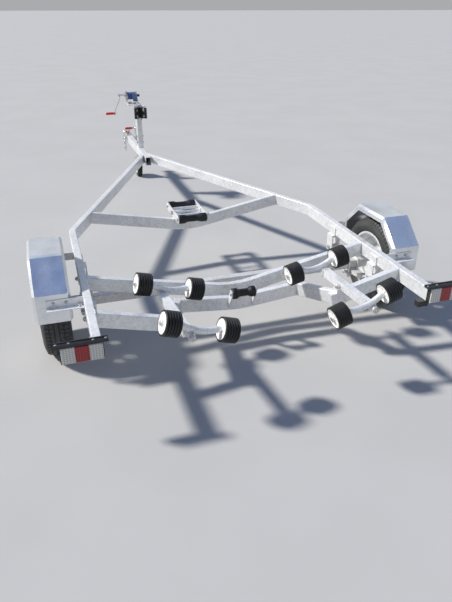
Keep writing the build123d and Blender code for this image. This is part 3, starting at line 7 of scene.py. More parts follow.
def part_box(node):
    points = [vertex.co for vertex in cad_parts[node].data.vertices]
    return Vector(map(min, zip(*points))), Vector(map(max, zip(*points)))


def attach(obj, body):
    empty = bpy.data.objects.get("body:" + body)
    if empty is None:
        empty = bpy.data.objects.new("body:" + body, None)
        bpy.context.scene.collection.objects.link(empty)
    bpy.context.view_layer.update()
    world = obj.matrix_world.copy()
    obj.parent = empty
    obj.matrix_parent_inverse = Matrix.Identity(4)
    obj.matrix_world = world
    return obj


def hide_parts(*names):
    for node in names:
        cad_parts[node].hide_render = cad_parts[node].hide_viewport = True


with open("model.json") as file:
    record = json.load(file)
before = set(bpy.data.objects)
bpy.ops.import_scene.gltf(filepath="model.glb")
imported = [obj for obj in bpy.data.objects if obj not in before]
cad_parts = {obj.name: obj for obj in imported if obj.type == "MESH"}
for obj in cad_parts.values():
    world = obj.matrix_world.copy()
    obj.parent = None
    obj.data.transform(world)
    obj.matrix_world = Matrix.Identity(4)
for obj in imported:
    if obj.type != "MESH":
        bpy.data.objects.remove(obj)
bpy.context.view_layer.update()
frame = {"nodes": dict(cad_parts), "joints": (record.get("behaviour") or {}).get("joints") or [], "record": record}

# Sizes are metres, apart from those headed in mm. +X is the trailer's right side, +Y its
# towing end and +Z up. Places given to at() are mm, measured along Y from the rear ends of
# the rails.
JOINTS = {joint["name"]: joint for joint in frame["joints"]}
MM = 0.001
REAR_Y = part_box("rail_left")[0].y
RAIL_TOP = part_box("rail_left")[1].z
SIDES = {"left": -1, "right": 1}

# Camera: where the photograph was taken from, measured from the rear ends of the rails
EYE = Vector((-0.926, -2.076 + REAR_Y, 1.69))
EYE_DOWN = 27.65  # degrees below the horizon
EYE_RIGHT = 17.9  # degrees to the right of +Y
LENS = 33.5


def at(x, y, z):
    """A place in metres from millimetres measured from the rear ends of the rails."""
    return Vector((x * MM, y * MM + REAR_Y, z * MM))


def joint_place(name):
    return Vector(JOINTS[name]["pos_m"])


def new_object(name, data):
    made = bpy.data.objects.new(name, data)
    bpy.context.scene.collection.objects.link(made)
    return made


def camera():
    data = bpy.data.cameras.new("camera")
    data.lens = LENS
    data.clip_start, data.clip_end = 0.05, 900
    eye = new_object("camera", data)
    eye.location = EYE
    eye.rotation_euler = (math.radians(90 - EYE_DOWN), 0, math.radians(-EYE_RIGHT))
    bpy.context.scene.camera = eye


# Finishes: each is a Principled shader whose textures read the piece's own place in metres


def set_stops(node, stops):
    """Gives a ramp its colours, each at a place from 0 to 1."""
    points = node.color_ramp.elements
    while len(points) < len(stops):
        points.new(0.5)
    for point, (position, colour) in zip(points, stops):
        point.position = position
        point.color = (*colour, 1)


class Finish:
    """A procedural material. Sockets given by name are constants on the shader itself."""

    def __init__(self, name, **sockets):
        self.material = bpy.data.materials.new(name)
        self.material.use_nodes = True
        self.tree = self.material.node_tree
        self.shader = self.tree.nodes["Principled BSDF"]
        self.place = self.node("TexCoord").outputs["Object"]
        self.rounded = None
        for socket, value in sockets.items():
            self.shader.inputs[socket.replace("_", " ")].default_value = value

    def node(self, kind, settings=None, **inputs):
        made = self.tree.nodes.new("ShaderNode" + kind)
        for key, value in (settings or {}).items():
            setattr(made, key, value)
        for key, value in inputs.items():
            self.feed(made.inputs[key.replace("_", " ")], value)
        return made

    def feed(self, socket, value):
        if isinstance(value, bpy.types.NodeSocket):
            self.tree.links.new(value, socket)
        else:
            socket.default_value = value

    def stretched(self, x, y, z):
        return self.node("Mapping", Vector=self.place, Scale=(x, y, z)).outputs["Vector"]

    def noise(self, scale, detail=3.0, rough=0.55, place=None):
        """Cloudy values, with scale features to a metre."""
        place = place or self.place
        made = self.node("TexNoise", Vector=place, Scale=scale, Detail=detail, Roughness=rough)
        return made.outputs["Fac"]

    def cells(self, scale, place):
        """A random value for each cell."""
        made = self.node("TexVoronoi", Vector=place, Scale=scale)
        return self.node("SeparateColor", Color=made.outputs["Color"]).outputs["Red"]

    def maths(self, operation, a, b):
        made = self.node("Math", {"operation": operation})
        self.feed(made.inputs[0], a)
        self.feed(made.inputs[1], b)
        return made.outputs["Value"]

    def plus(self, a, b):
        return self.maths("ADD", a, b)

    def times(self, a, b):
        return self.maths("MULTIPLY", a, b)

    def vectors(self, operation, *values):
        made = self.node("VectorMath", {"operation": operation})
        for socket, value in zip(made.inputs, values):
            self.feed(socket, value)
        return made.outputs["Value" if operation == "DOT_PRODUCT" else "Vector"]

    def spread(self, value, low, high):
        """A value from 0 to 1 spread from low to high."""
        return self.node("MapRange", Value=value, To_Min=low, To_Max=high).outputs["Result"]

    def ramp(self, value, *stops):
        made = self.node("ValToRGB", Fac=value)
        set_stops(made, stops)
        return made.outputs["Color"]

    def mask(self, value, low, high):
        """0 below low, 1 above high."""
        return self.ramp(value, (low, (0, 0, 0)), (high, (1, 1, 1)))

    def layer(self, under, over, mask, share):
        """One colour laid over another where mask is 1, covering a share of it."""
        made = self.node("MixRGB", Fac=self.times(mask, share), Color1=under, Color2=(*over, 1))
        return made.outputs["Color"]

    def edges(self, radius):
        """Rounds the shading over sharp edges and gives a value that is 1 on them."""
        self.rounded = self.node("Bevel", {"samples": 4}, Radius=radius).outputs["Normal"]
        flat = self.node("NewGeometry").outputs["Normal"]
        alike = self.vectors("DOT_PRODUCT", self.rounded, flat)
        return self.node("MapRange", Value=alike, From_Min=0.985, From_Max=0.86).outputs["Result"]

    def colour(self, source):
        self.feed(self.shader.inputs["Base Color"], source)

    def roughness(self, source):
        self.feed(self.shader.inputs["Roughness"], source)

    def bump(self, height, depth, strength):
        """Relief as deep as depth, in metres, where height goes from 0 to 1."""
        made = self.node("Bump", Height=height, Distance=depth, Strength=strength)
        if self.rounded:
            self.feed(made.inputs["Normal"], self.rounded)
        self.feed(self.shader.inputs["Normal"], made.outputs["Normal"])


def grey(value, tint=0.0):
    """A grey, a little blue for a positive tint and a little yellow for a negative one."""
    return (value * (1 - tint), value, value * (1 + tint))


def galvanised(name, level=1.0, tint=0.01, crystal=120, gloss=(0.28, 0.44), metal=0.38,
               spangle=0.42, wave=0.0):
    """Hot-dip zinc: crystals of differing brightness, dull patches, runs, and edges lightened as wear and as a
    painted highlight.
    spangle is how much the crystals differ, and wave is how far thin sheet bulges, in metres."""
    f = Finish(name, Metallic=metal)
    wander = f.node("TexNoise", Vector=f.place, Scale=38.0, Detail=2.0).outputs["Color"]
    warped = f.vectors("MULTIPLY_ADD", wander, (0.011, 0.011, 0.011), f.place)
    fine = f.cells(crystal, warped)
    coarse = f.cells(crystal * 0.42, warped)
    crystals = f.plus(f.times(fine, 0.6), f.times(coarse, 0.4))
    spangled = f.times(crystals, spangle)
    shade = f.plus(spangled, f.times(f.noise(5.5, 4.0), 1.04 - spangle))
    low, middle, high = (grey(step * level, tint) for step in (0.56, 0.76, 0.90))
    zinc = f.ramp(shade, (0.22, low), (0.52, middle), (0.85, high))
    dull = f.mask(f.noise(2.6, 5.0, 0.62), 0.52, 0.74)
    zinc = f.layer(zinc, grey(0.60 * level, tint * 0.5), dull, 0.35)
    runs = f.mask(f.noise(14.0, 3.0, 0.5, f.stretched(1.5, 1.5, 0.3)), 0.60, 0.86)
    zinc = f.layer(zinc, grey(0.50 * level, -0.02), runs, 0.22)
    # Edges lightened towards pale zinc: partly wear, partly a painted highlight along every sharp edge
    f.colour(f.layer(zinc, grey(0.90, 0.01), f.edges(0.0016), 0.5))
    f.roughness(f.spread(crystals, *gloss))
    if wave:
        bulges = f.noise(4.2, 1.0)
        f.rounded = f.node("Bump", Height=bulges, Distance=wave, Normal=f.rounded).outputs["Normal"]
    f.bump(f.plus(spangled, f.noise(240, 2.0)), 0.0005, 0.3)
    return f.material


def zinc_plated(name, level=1.0):
    """Bright zinc plate, faintly yellow, smoother than the dipped steel."""
    f = Finish(name, Metallic=0.8)
    cloud = f.noise(22, 4.0)
    tones = ((0.52, 0.52, 0.50), (0.78, 0.78, 0.75))
    low, high = (tuple(level * part for part in tone) for tone in tones)
    plate = f.ramp(cloud, (0.3, low), (0.7, high))
    grime = f.mask(f.noise(60, 5.0, 0.7), 0.62, 0.82)
    plate = f.layer(plate, (0.10, 0.09, 0.075), grime, 0.5)
    # Edges lightened towards near white: partly wear, partly a painted highlight along every sharp edge
    f.colour(f.layer(plate, (0.9, 0.9, 0.88), f.edges(0.0009), 0.5))
    f.roughness(f.spread(f.noise(60, 3.0), 0.2, 0.4))
    f.bump(f.noise(320, 2.0), 0.0003, 0.25)
    return f.material


def rubber(name, level, dust, roughness=(0.48, 0.68), grain=420):
    """Moulded black rubber with a dusty bloom, and edges greyed as scuffs and as a painted highlight."""
    f = Finish(name, Specular_IOR_Level=0.4)
    bloom = f.noise(18, 5.0, 0.6)
    black = f.ramp(bloom, (0.35, grey(level)), (0.75, grey(level * 1.9, 0.03)))
    dusty = f.mask(f.noise(7, 6.0, 0.65), 0.42, 0.72)
    black = f.layer(black, (0.15, 0.152, 0.155), dusty, dust)
    # Edges greyed: partly scuffing, partly a painted highlight along every sharp edge
    f.colour(f.layer(black, grey(0.10), f.edges(0.0014), 0.35))
    f.roughness(f.spread(f.noise(45, 3.0), *roughness))
    f.bump(f.noise(grain, 3.0), 0.0004, 0.4)
    return f.material


def nylon_white():
    """Pale moulded nylon, a little dirty in patches."""
    f = Finish("nylon_white", Specular_IOR_Level=0.45)
    dirt = f.noise(30, 5.0, 0.65)
    f.colour(f.ramp(dirt, (0.42, (0.86, 0.86, 0.84)), (0.80, (0.62, 0.61, 0.57))))
    f.roughness(f.spread(f.noise(80, 2.0), 0.32, 0.5))
    f.bump(f.noise(500, 2.0), 0.0002, 0.3)
    return f.material


def plastic(name, low, high):
    """Moulded plastic with a fine grain."""
    f = Finish(name, Specular_IOR_Level=0.5)
    shade = f.ramp(f.noise(26, 4.0), (0.35, low), (0.7, high))
    # A paler colour along sharp edges: partly wear, partly a painted highlight
    pale = tuple(0.6 * part + 0.06 for part in high)
    f.colour(f.layer(shade, pale, f.edges(0.0010), 0.5))
    f.roughness(f.spread(f.noise(90, 2.0), 0.3, 0.45))
    f.bump(f.noise(700, 2.0), 0.0002, 0.35)
    return f.material


def lens(name, low, high):
    """A lamp window: clear gloss over a grid of moulded prisms."""
    f = Finish(name, Coat_Weight=0.35, Coat_Roughness=0.06, Specular_IOR_Level=0.45)
    rows = f.node("TexWave", {"wave_type": "BANDS", "bands_direction": "Z"}, Vector=f.place, Scale=34.0)
    columns = f.node("TexWave", {"wave_type": "BANDS", "bands_direction": "X"}, Vector=f.place, Scale=26.0)
    prisms = f.times(rows.outputs["Fac"], columns.outputs["Fac"])
    f.colour(f.ramp(prisms, (0.0, low), (0.8, high)))
    f.roughness(f.spread(f.noise(40, 2.0), 0.12, 0.26))
    f.bump(prisms, 0.0012, 0.6)
    return f.material


def webbing():
    """Woven polyester strap: ribs across it and a fleck of worn thread."""
    f = Finish("blue_webbing", Sheen_Weight=0.35, Sheen_Roughness=0.5)
    weft = f.node("TexWave", {"bands_direction": "X"}, Vector=f.place, Scale=130.0, Distortion=0.6)
    warp = f.node("TexWave", {"bands_direction": "DIAGONAL"}, Vector=f.place, Scale=90.0, Distortion=1.0)
    weave = f.times(weft.outputs["Fac"], warp.outputs["Fac"])
    thread = f.ramp(weave, (0.1, (0.020, 0.060, 0.17)), (0.7, (0.07, 0.15, 0.36)))
    worn = f.mask(f.noise(70, 5.0, 0.7), 0.6, 0.8)
    f.colour(f.layer(thread, (0.16, 0.24, 0.42), worn, 0.3))
    f.roughness(f.spread(f.noise(50, 2.0), 0.62, 0.82))
    f.bump(weave, 0.0007, 0.6)
    return f.material


FINISHES = {
    "galvanised": galvanised("galvanised"),
    "axle_steel": galvanised("axle_steel", level=0.86, tint=-0.01, crystal=110),
    "zinc_plated": zinc_plated("zinc_plated"),
    "tyre": rubber("tyre_rubber", 0.028, 0.13),
    "black_rubber": rubber("roller_rubber", 0.007, 0.12, roughness=(0.36, 0.56), grain=300),
    "black_plastic": plastic("black_plastic", (0.012, 0.012, 0.013), (0.024, 0.024, 0.026)),
    "red_plastic": plastic("red_plastic", (0.50, 0.020, 0.012), (0.66, 0.04, 0.025)),
    "lens_red": lens("lens_red", (0.20, 0.005, 0.008), (0.44, 0.013, 0.017)),
    "lens_clear": lens("lens_clear", (0.40, 0.41, 0.39), (0.66, 0.67, 0.64)),
    "blue_webbing": webbing(),
}
NYLON = nylon_white()
SHEET = galvanised("sheet_zinc", level=1.06, tint=0.03, crystal=170, gloss=(0.27, 0.33), metal=0.76,
                   spangle=0.12, wave=0.05)
BEAD = galvanised("weld_zinc", level=0.92, tint=-0.01, crystal=190, gloss=(0.3, 0.5))
BOLT = zinc_plated("bolt_zinc", 0.78)


def dress_nodes():
    """Gives every node of the frame the finish of its material slot."""
    slots = {part["node"]: part["material_slot"] for part in frame["record"]["subparts"]}
    for name, node in frame["nodes"].items():
        finish = SHEET if name in ("guard_left", "guard_right") else FINISHES[slots[name]]
        if not node.material_slots:
            node.data.materials.append(finish)
        for held in node.material_slots:
            held.material = finish


# Mesh building, in metres

THREAD_PITCH = 0.0018
WELD_STEP = 0.0026  # from one ripple of a bead to the next
BEAD_R = 0.0034
WASHER = 0.0022


class Shape:
    """A mesh that grows part by part, in the trailer's own frame."""

    def __init__(self):
        self.points = []
        self.faces = []

    def add(self, points, faces, place=Matrix()):
        start = len(self.points)
        self.points += [place @ Vector(point) for point in points]
        self.faces += [[start + index for index in face] for face in faces]

    def skin(self, rings, place=Matrix(), loop=False):
        """Joins rings of equally many points, one to the next, and caps the ends or joins them too."""
        count = len(rings[0])
        points = [point for ring in rings for point in ring]
        faces = []
        last = len(rings) if loop else len(rings) - 1
        for row in range(last):
            a = row * count
            b = (row + 1) % len(rings) * count
            for i in range(count):
                j = (i + 1) % count
                faces.append((a + i, a + j, b + j, b + i))
        if not loop:
            faces.append(tuple(reversed(range(count))))
            faces.append(tuple(range((len(rings) - 1) * count, len(rings) * count)))
        self.add(points, faces, place)

    def turned(self, profile, place, steps, closed=False):
        """A profile of (along, radius) turned round the local X axis."""
        rings = [ring(steps, radius, along) for along, radius in profile]
        self.skin(rings, place, loop=closed)

    def hexagon(self, across, low, high, place, edge=0.0006):
        """A hexagonal head or nut along the local X axis, its corners turned off."""
        r = across / math.sqrt(3)
        profile = ((low, r - edge), (low + edge, r), (high - edge, r), (high, r - 2 * edge))
        self.turned(profile, place, 6)

    def fastener(self, point, direction, across, head, stud=0.0, washer=WASHER):
        """A washer, a hexagonal head or nut and, past a nut, the end of its thread."""
        place = axes(point, direction)
        if washer:
            r = across * 0.66
            self.turned(((0, r), (washer * 0.8, r), (washer, r - 0.0006)), place, 20)
        self.hexagon(across, washer, washer + head, place)
        thread_r = across * 0.31
        start = washer + head
        rows = int(stud / THREAD_PITCH * 2)
        if rows:
            thread = []
            for row in range(rows):
                thread.append((start + row * THREAD_PITCH / 2, thread_r * (0.9 if row % 2 else 1)))
            thread.append((start + rows * THREAD_PITCH / 2, thread_r * 0.78))
            self.turned(thread, place, 14)

    def loop(self, path, radius, steps):
        """A round wire along points that close into a loop."""
        self.skin(round_rings(path, radius, steps), loop=True)

    def weld(self, start, end, radius=BEAD_R):
        """A weld bead along a straight line, with its ripples."""
        start, end = Vector(start), Vector(end)
        length = (end - start).length
        rows = max(int(length / WELD_STEP), 4)
        place = axes(start, end - start)
        rings = []
        for row in range(rows + 1):
            fade = min(1.0, 0.35 + 0.4 * min(row, rows - row))
            ripple = 0.86 + 0.14 * math.cos(row * math.pi)
            drift = 0.0003 * math.sin(row * 1.7)
            section = ring(7, radius * fade * ripple, row * length / rows)
            rings.append([(x, y + drift, z) for x, y, z in section])
        self.skin(rings, place)

    def slab(self, low, high, place=Matrix(), edge=0.0008):
        """A block between two corners, its edges broken."""
        (x0, y0, z0), (x1, y1, z1) = low, high
        rings = []
        for x, inset in ((x0, edge), (x0 + edge, 0), (x1 - edge, 0), (x1, edge)):
            y_low, y_high = y0 + inset, y1 - inset
            z_low, z_high = z0 + inset, z1 - inset
            rings.append([(x, y_low + edge, z_low), (x, y_high - edge, z_low), (x, y_high, z_low + edge),
                          (x, y_high, z_high - edge), (x, y_high - edge, z_high), (x, y_low + edge, z_high),
                          (x, y_low, z_high - edge), (x, y_low, z_low + edge)])
        self.skin(rings, place)

    def piece(self, name, body, finish, slot=None, sharp=35):
        mesh = bpy.data.meshes.new(name)
        mesh.from_pydata([tuple(point) for point in self.points], [], self.faces)
        mesh.validate()
        mesh.polygons.foreach_set("use_smooth", [True] * len(mesh.polygons))
        mesh.set_sharp_from_angle(angle=math.radians(sharp))
        mesh.materials.append(finish)
        made = new_object(name, mesh)
        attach(made, body)
        return made


def ring(steps, radius, along):
    turn = 2 * math.pi / steps
    return [(along, radius * math.cos(i * turn), radius * math.sin(i * turn)) for i in range(steps)]


def mirrored(profile):
    """The mirrored half of a profile of (along, radius)."""
    return [(-along, radius) for along, radius in reversed(profile)]


def axes(origin, x_axis):
    """A frame at origin whose X axis points along x_axis."""
    x = Vector(x_axis).normalized()
    y = Vector((0, 0, 1)).cross(x)
    if y.length < 0.01:
        y = Vector((0, 1, 0)).cross(x)
    y.normalize()
    z = x.cross(y)
    turned = Matrix((x, y, z)).transposed().to_4x4()
    return Matrix.Translation(Vector(origin)) @ turned


def round_rings(path, radius, steps):
    """Rings of points round a closed path, each turned as little as it can be from the one before."""
    path = [Vector(point) for point in path]
    count = len(path)
    rings = []
    side = None
    for i, point in enumerate(path):
        along = (path[(i + 1) % count] - path[i - 1]).normalized()
        if side is None:
            side = along.orthogonal()
        side = (side - along * side.dot(along)).normalized()
        other = along.cross(side)
        row = []
        for step in range(steps):
            angle = 2 * math.pi * step / steps
            row.append(point + radius * (side * math.cos(angle) + other * math.sin(angle)))
        rings.append(row)
    return rings


# Wheels, in metres

TYRE_LOW, TYRE_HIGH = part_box("tyre_left")
TYRE_R = (TYRE_HIGH.z - TYRE_LOW.z) / 2
TREAD_PITCHES = 64
HALF_TREAD = 0.05
GROOVE_DEPTH = 0.0065
CROWN = 0.0000015  # how fast the tread falls away from its middle, for each mm squared
SLANT = 0.30  # how far the cross cuts slant over half the tread, in pitches
SHOULDER_CUT = 0.8  # depth of the cross cuts, as a share of the grooves' depth
RIB_CUT = 0.55
RIB_CUT_FROM = 0.02  # where the ribs' cuts begin, from the middle of the tread
LUG_DEPTH = 0.0205  # how far down the sidewall the shoulder blocks reach
LUG_CUT = 0.0024  # depth of the cuts between them
# The tread across half its width: x in mm, and the zone to the outside of that line
TREAD_LINES = (
    (0.0, "centre"), (9.0, "centre"), (9.6, "groove"), (15.4, "groove"), (16.0, "rib"), (24.0, "rib"),
    (33.0, "rib"), (33.6, "groove"), (39.4, "groove"), (40.0, "shoulder"), (46.0, "shoulder"),
    (52.0, "shoulder"),
)
# Where the cross cuts lie in one pitch, from 0 to 1, and whether they are open there
PITCH_STEPS = ((0.0, False), (0.10, False), (0.13, True), (0.27, True), (0.30, False), (0.65, False))
# The sidewall from the shoulder to the bead, in mm: half width and depth below the tread
SIDEWALL = (
    (58, 6.5), (63, 11), (65, 13), (66.2, 17.5), (67.4, 20), (71.5, 31), (74.6, 41), (76, 50),
    (75.4, 59), (74.2, 61.5), (73.8, 66.5), (72, 72), (69.4, 77), (67, 80.5), (65, 83), (63.4, 85),
    (61, 85.6), (59, 88),
)
NUT_CIRCLE = 0.0495
NUT_COUNT = 5
NUT_ACROSS = 0.019
NUT_FOOT = 0.021  # where the nuts stand, out from the middle of the rim
# Profiles are pairs of (along, radius)
NUT_SEAT = ((0, 0.0112), (0.002, 0.0110), (0.0055, 0.0098))
NUT_BODY = (0.0045, 0.0175)  # along the stud
STUD_END = ((0.0170, 0.0062), (0.0225, 0.0060), (0.0235, 0.0050))
CAP_RING = ((0.0175, 0.0345), (0.0205, 0.0355), (0.0235, 0.0345), (0.0240, 0.0325))
VALVE_R = 0.132
VALVE_OUT = 0.018
VALVE_LEAN = 0.45  # rise for each unit outwards
VALVE_PROFILE = ((0, 0.0085), (0.003, 0.0085), (0.006, 0.0055), (0.020, 0.0048), (0.021, 0.0036),
                 (0.030, 0.0036), (0.031, 0.0042), (0.040, 0.0042), (0.042, 0.0030))


def tread_radius(x):
    """The crown's radius at a place across the tread."""
    return TYRE_R - CROWN * (x / MM) ** 2


def cut_depth(x, zone, is_cut):
    """How far the tread lies below its crown."""
    if zone == "groove":
        return GROOVE_DEPTH
    if is_cut and zone == "shoulder":
        return GROOVE_DEPTH * SHOULDER_CUT
    if is_cut and zone == "rib" and abs(x) > RIB_CUT_FROM:
        return GROOVE_DEPTH * RIB_CUT
    return 0.0


def tyre_section(lines, wall, pitch, is_cut):
    """Points across the tyre at one cross line of the tread, wound round the local X axis."""
    lug_r = TYRE_R - LUG_DEPTH
    if is_cut:
        wall = [(x, r) if r < lug_r else (x - LUG_CUT, r - LUG_CUT) for x, r in wall]
    tread = [(x, tread_radius(x) - cut_depth(x, zone, is_cut)) for x, zone in lines]
    section = []
    for x, r in mirrored(wall) + tread + wall:
        slant = SLANT * x / HALF_TREAD if r > lug_r - 2 * LUG_CUT else 0.0
        turn = (pitch + slant) * 2 * math.pi / TREAD_PITCHES
        section.append((x, r * math.cos(turn), r * math.sin(turn)))
    return section


def tyre(side):
    """A road tyre with five rows of blocks, slanting cuts and ribbed sidewalls."""
    half = [(x * MM, zone) for x, zone in TREAD_LINES]
    lines = [(-x, zone) for x, zone in reversed(half[1:])] + half
    wall = [(x * MM, TYRE_R - depth * MM) for x, depth in SIDEWALL]
    rings = []
    for pitch in range(TREAD_PITCHES):
        rings += [tyre_section(lines, wall, pitch + step, is_cut) for step, is_cut in PITCH_STEPS]
    count = len(rings[0])
    faces = []
    for row in range(len(rings)):
        a, b = row * count, (row + 1) % len(rings) * count
        faces += [(a + i, b + i, b + i + 1, a + i + 1) for i in range(count - 1)]
    shape = Shape()
    place = Matrix.Translation(joint_place(f"wheel_{side}_spin"))
    shape.add([point for section in rings for point in section], faces, place)
    made = shape.piece(f"tyre_with_tread_{side}", f"wheel_{side}", FINISHES["tyre"], "tyre", sharp=32)
    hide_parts(f"tyre_{side}")


def wheel_trim(side):
    """Wheel nuts on their studs, the ring of the grease cap and the valve."""
    centre = joint_place(f"wheel_{side}_spin")
    out = Vector((SIDES[side], 0, 0))
    bolts = Shape()
    for nut in range(NUT_COUNT):
        angle = 2 * math.pi * (nut + 0.25) / NUT_COUNT
        spoke = Vector((0, math.cos(angle), math.sin(angle)))
        place = axes(centre + out * NUT_FOOT + spoke * NUT_CIRCLE, out)
        bolts.turned(NUT_SEAT, place, 18)
        bolts.hexagon(NUT_ACROSS, *NUT_BODY, place, edge=0.0012)
        bolts.turned(STUD_END, place, 14)
    bolts.turned(CAP_RING, axes(centre, out), 36, closed=True)
    bolts.piece(f"wheel_nuts_{side}", f"wheel_{side}", BOLT)
    valve = Shape()
    root = centre + out * VALVE_OUT + Vector((0, 0, -VALVE_R))
    lean = out + Vector((0, 0, VALVE_LEAN))
    valve.turned(VALVE_PROFILE, axes(root, lean), 16)
    valve.piece(f"valve_{side}", f"wheel_{side}", FINISHES["black_rubber"])


# Axle, springs and hangers, in mm from the rear ends of the rails

WHEEL_Y = 750
SPRING_X = 812
U_BOLT_X = 29.5  # from the middle of the spring
U_BOLT_Y = 31  # from the middle of the axle
PLATE_UNDER = 213  # under side of the plate below the leaves
EYE_REACH = 250
EYE_Z = 289.5
HANGER_FACES = (783.2, 840.8)
CLIP_REACH = 158  # rebound clips round the leaves
CLIP_Z = (247.5, 262.5)
CLIP_HALF = (0.0265, 0.010)  # half of a clip's width and length, in metres
CLIP_T = 0.003
CLIP_TILT = 14  # degrees, with the curve of the leaves


def spring_nuts(shape, sign):
    """Nuts of the U-bolts and the centre bolt under the plate, and the bolts through both eyes."""
    down = (0, 0, -1)
    for dx in (-U_BOLT_X, U_BOLT_X):
        for dy in (-U_BOLT_Y, U_BOLT_Y):
            point = at(sign * SPRING_X + dx, WHEEL_Y + dy, PLATE_UNDER)
            shape.fastener(point, down, across=0.019, head=0.010, stud=0.007)
    shape.fastener(at(sign * SPRING_X, WHEEL_Y, PLATE_UNDER), down, across=0.017, head=0.008)
    inner, outer = HANGER_FACES
    for end in (-1, 1):
        y = WHEEL_Y + end * EYE_REACH
        shape.fastener(at(sign * inner, y, EYE_Z), (-sign, 0, 0), across=0.022, head=0.008)
        shape.fastener(at(sign * outer, y, EYE_Z), (sign, 0, 0), across=0.022, head=0.010, stud=0.004)


def spring_clip(shape, sign, end):
    """A flat band round the leaves."""
    middle = at(sign * SPRING_X, WHEEL_Y + end * CLIP_REACH, sum(CLIP_Z) / 2)
    place = Matrix.Translation(middle) @ Matrix.Rotation(math.radians(end * CLIP_TILT), 4, "X")
    half_x, half_y = CLIP_HALF
    half_z = (CLIP_Z[1] - CLIP_Z[0]) * MM / 2
    for z in (-half_z - CLIP_T, half_z):
        shape.slab((-half_x, -half_y, z), (half_x, half_y, z + CLIP_T), place)
    for x in (-half_x, half_x - CLIP_T):
        shape.slab((x, -half_y, -half_z), (x + CLIP_T, half_y, half_z), place)


def springs():
    bolts = Shape()
    clips = Shape()
    for sign in SIDES.values():
        spring_nuts(bolts, sign)
        for end in (-1, 1):
            spring_clip(clips, sign, end)
    bolts.piece("spring_bolts", "chassis", BOLT)
    clips.piece("spring_clips", "chassis", FINISHES["axle_steel"])


# Mudguard fixings, in mm: bolts through the brackets' uprights and shelves

GUARD_FACES = (460, 1040)  # outer faces of the guards' end panels
BRACKET_T = 5
BRACKET_Z = 396
UPRIGHT_BOLTS = (925, 985)  # x of the bolts through an upright
UPRIGHT_RISE = 26  # how far they are over the bracket's under side
SHELF_BOLT = (862, 25)  # x, and how far out of the guard's face


def guard_bolts():
    shape = Shape()
    for sign in SIDES.values():
        for y, end in zip(GUARD_FACES, (-1, 1)):
            for x in UPRIGHT_BOLTS:
                point = at(sign * x, y + end * BRACKET_T, BRACKET_Z + UPRIGHT_RISE)
                shape.fastener(point, (0, end, 0), across=0.013, head=0.0055)
            x, out = SHELF_BOLT
            point = at(sign * x, y + end * out, BRACKET_Z + BRACKET_T)
            shape.fastener(point, (0, 0, 1), across=0.017, head=0.007, stud=0.004)
    shape.piece("guard_bolts", "chassis", BOLT)


# Lamps, in mm

LAMP_X = 891
LAMP_BAR_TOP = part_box("lamp_bars")[1].z / MM
GROOVE_FLOOR = LAMP_BAR_TOP - 4  # of the groove along each bar
GROOVE_Y = -17
LENS_FACE = -35
BAR_SCREWS = (-102, -50, 50, 102)  # x from the middle of the lamp
LAMP_SCREWS = ((-80, 386), (-80, 450), (80, 386), (80, 450))  # x from the lamp's middle, and z
BAR_RIBS = range(-108, 109, 12)
BAR_RIB_REAR = -25.5
BAR_RIB_HALF = 1.2
BAR_RIB_SIZE = Vector((0.0024, 0.017, 0.0012))  # in metres, as is what follows
BAR_SCREW_R = 0.0058
LAMP_SCREW_R = 0.0036
WINDOW_INSET = Vector((0.006, 0.006, 0))
WINDOW_DROP = 0.003  # how far the plate lamp's window hangs below it
WINDOW_SUNK = 0.001


def screw(shape, point, direction, r):
    """A pan-head screw with a cross in it."""
    place = axes(point, direction)
    head = ((0, r), (r * 0.25, r), (r * 0.5, r * 0.86), (r * 0.62, r * 0.55), (r * 0.64, r * 0.1))
    shape.turned(head, place, 18)
    arm = r * 0.5
    thin = r * 0.1
    for low, high in (((-arm, -thin), (arm, thin)), ((-thin, -arm), (thin, arm))):
        shape.slab((r * 0.60, *low), (r * 0.70, *high), place, edge=r * 0.02)


def lamps():
    """Screws and ribs in the bars' grooves, screws in the lamps and the plate lamp's window."""
    screws = Shape()
    ribs = Shape()
    for sign in SIDES.values():
        middle = sign * LAMP_X
        for dx in BAR_SCREWS:
            screw(screws, at(middle + dx, GROOVE_Y, GROOVE_FLOOR), (0, 0, 1), BAR_SCREW_R)
        for dx, z in LAMP_SCREWS:
            screw(screws, at(middle + dx, LENS_FACE, z), (0, -1, 0), LAMP_SCREW_R)
        for dx in BAR_RIBS:
            low = at(middle + dx - BAR_RIB_HALF, BAR_RIB_REAR, GROOVE_FLOOR)
            ribs.slab(low, low + BAR_RIB_SIZE, edge=0.0003)
    ribs.piece("lamp_bar_ribs", "chassis", FINISHES["black_plastic"])
    low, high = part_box("plate_lamp")
    under = Vector((low.x, low.y, low.z - WINDOW_DROP)) + WINDOW_INSET
    top = Vector((high.x, high.y, low.z + WINDOW_SUNK)) - WINDOW_INSET
    window = Shape()
    window.slab(under, top)
    window.piece("plate_lamp_window", "chassis", FINISHES["lens_clear"], "lens_clear")
    screws.piece("lamp_screws", "chassis", BOLT)


# Hull rollers, rockers and beams, in metres. Profiles are pairs of (along, radius).

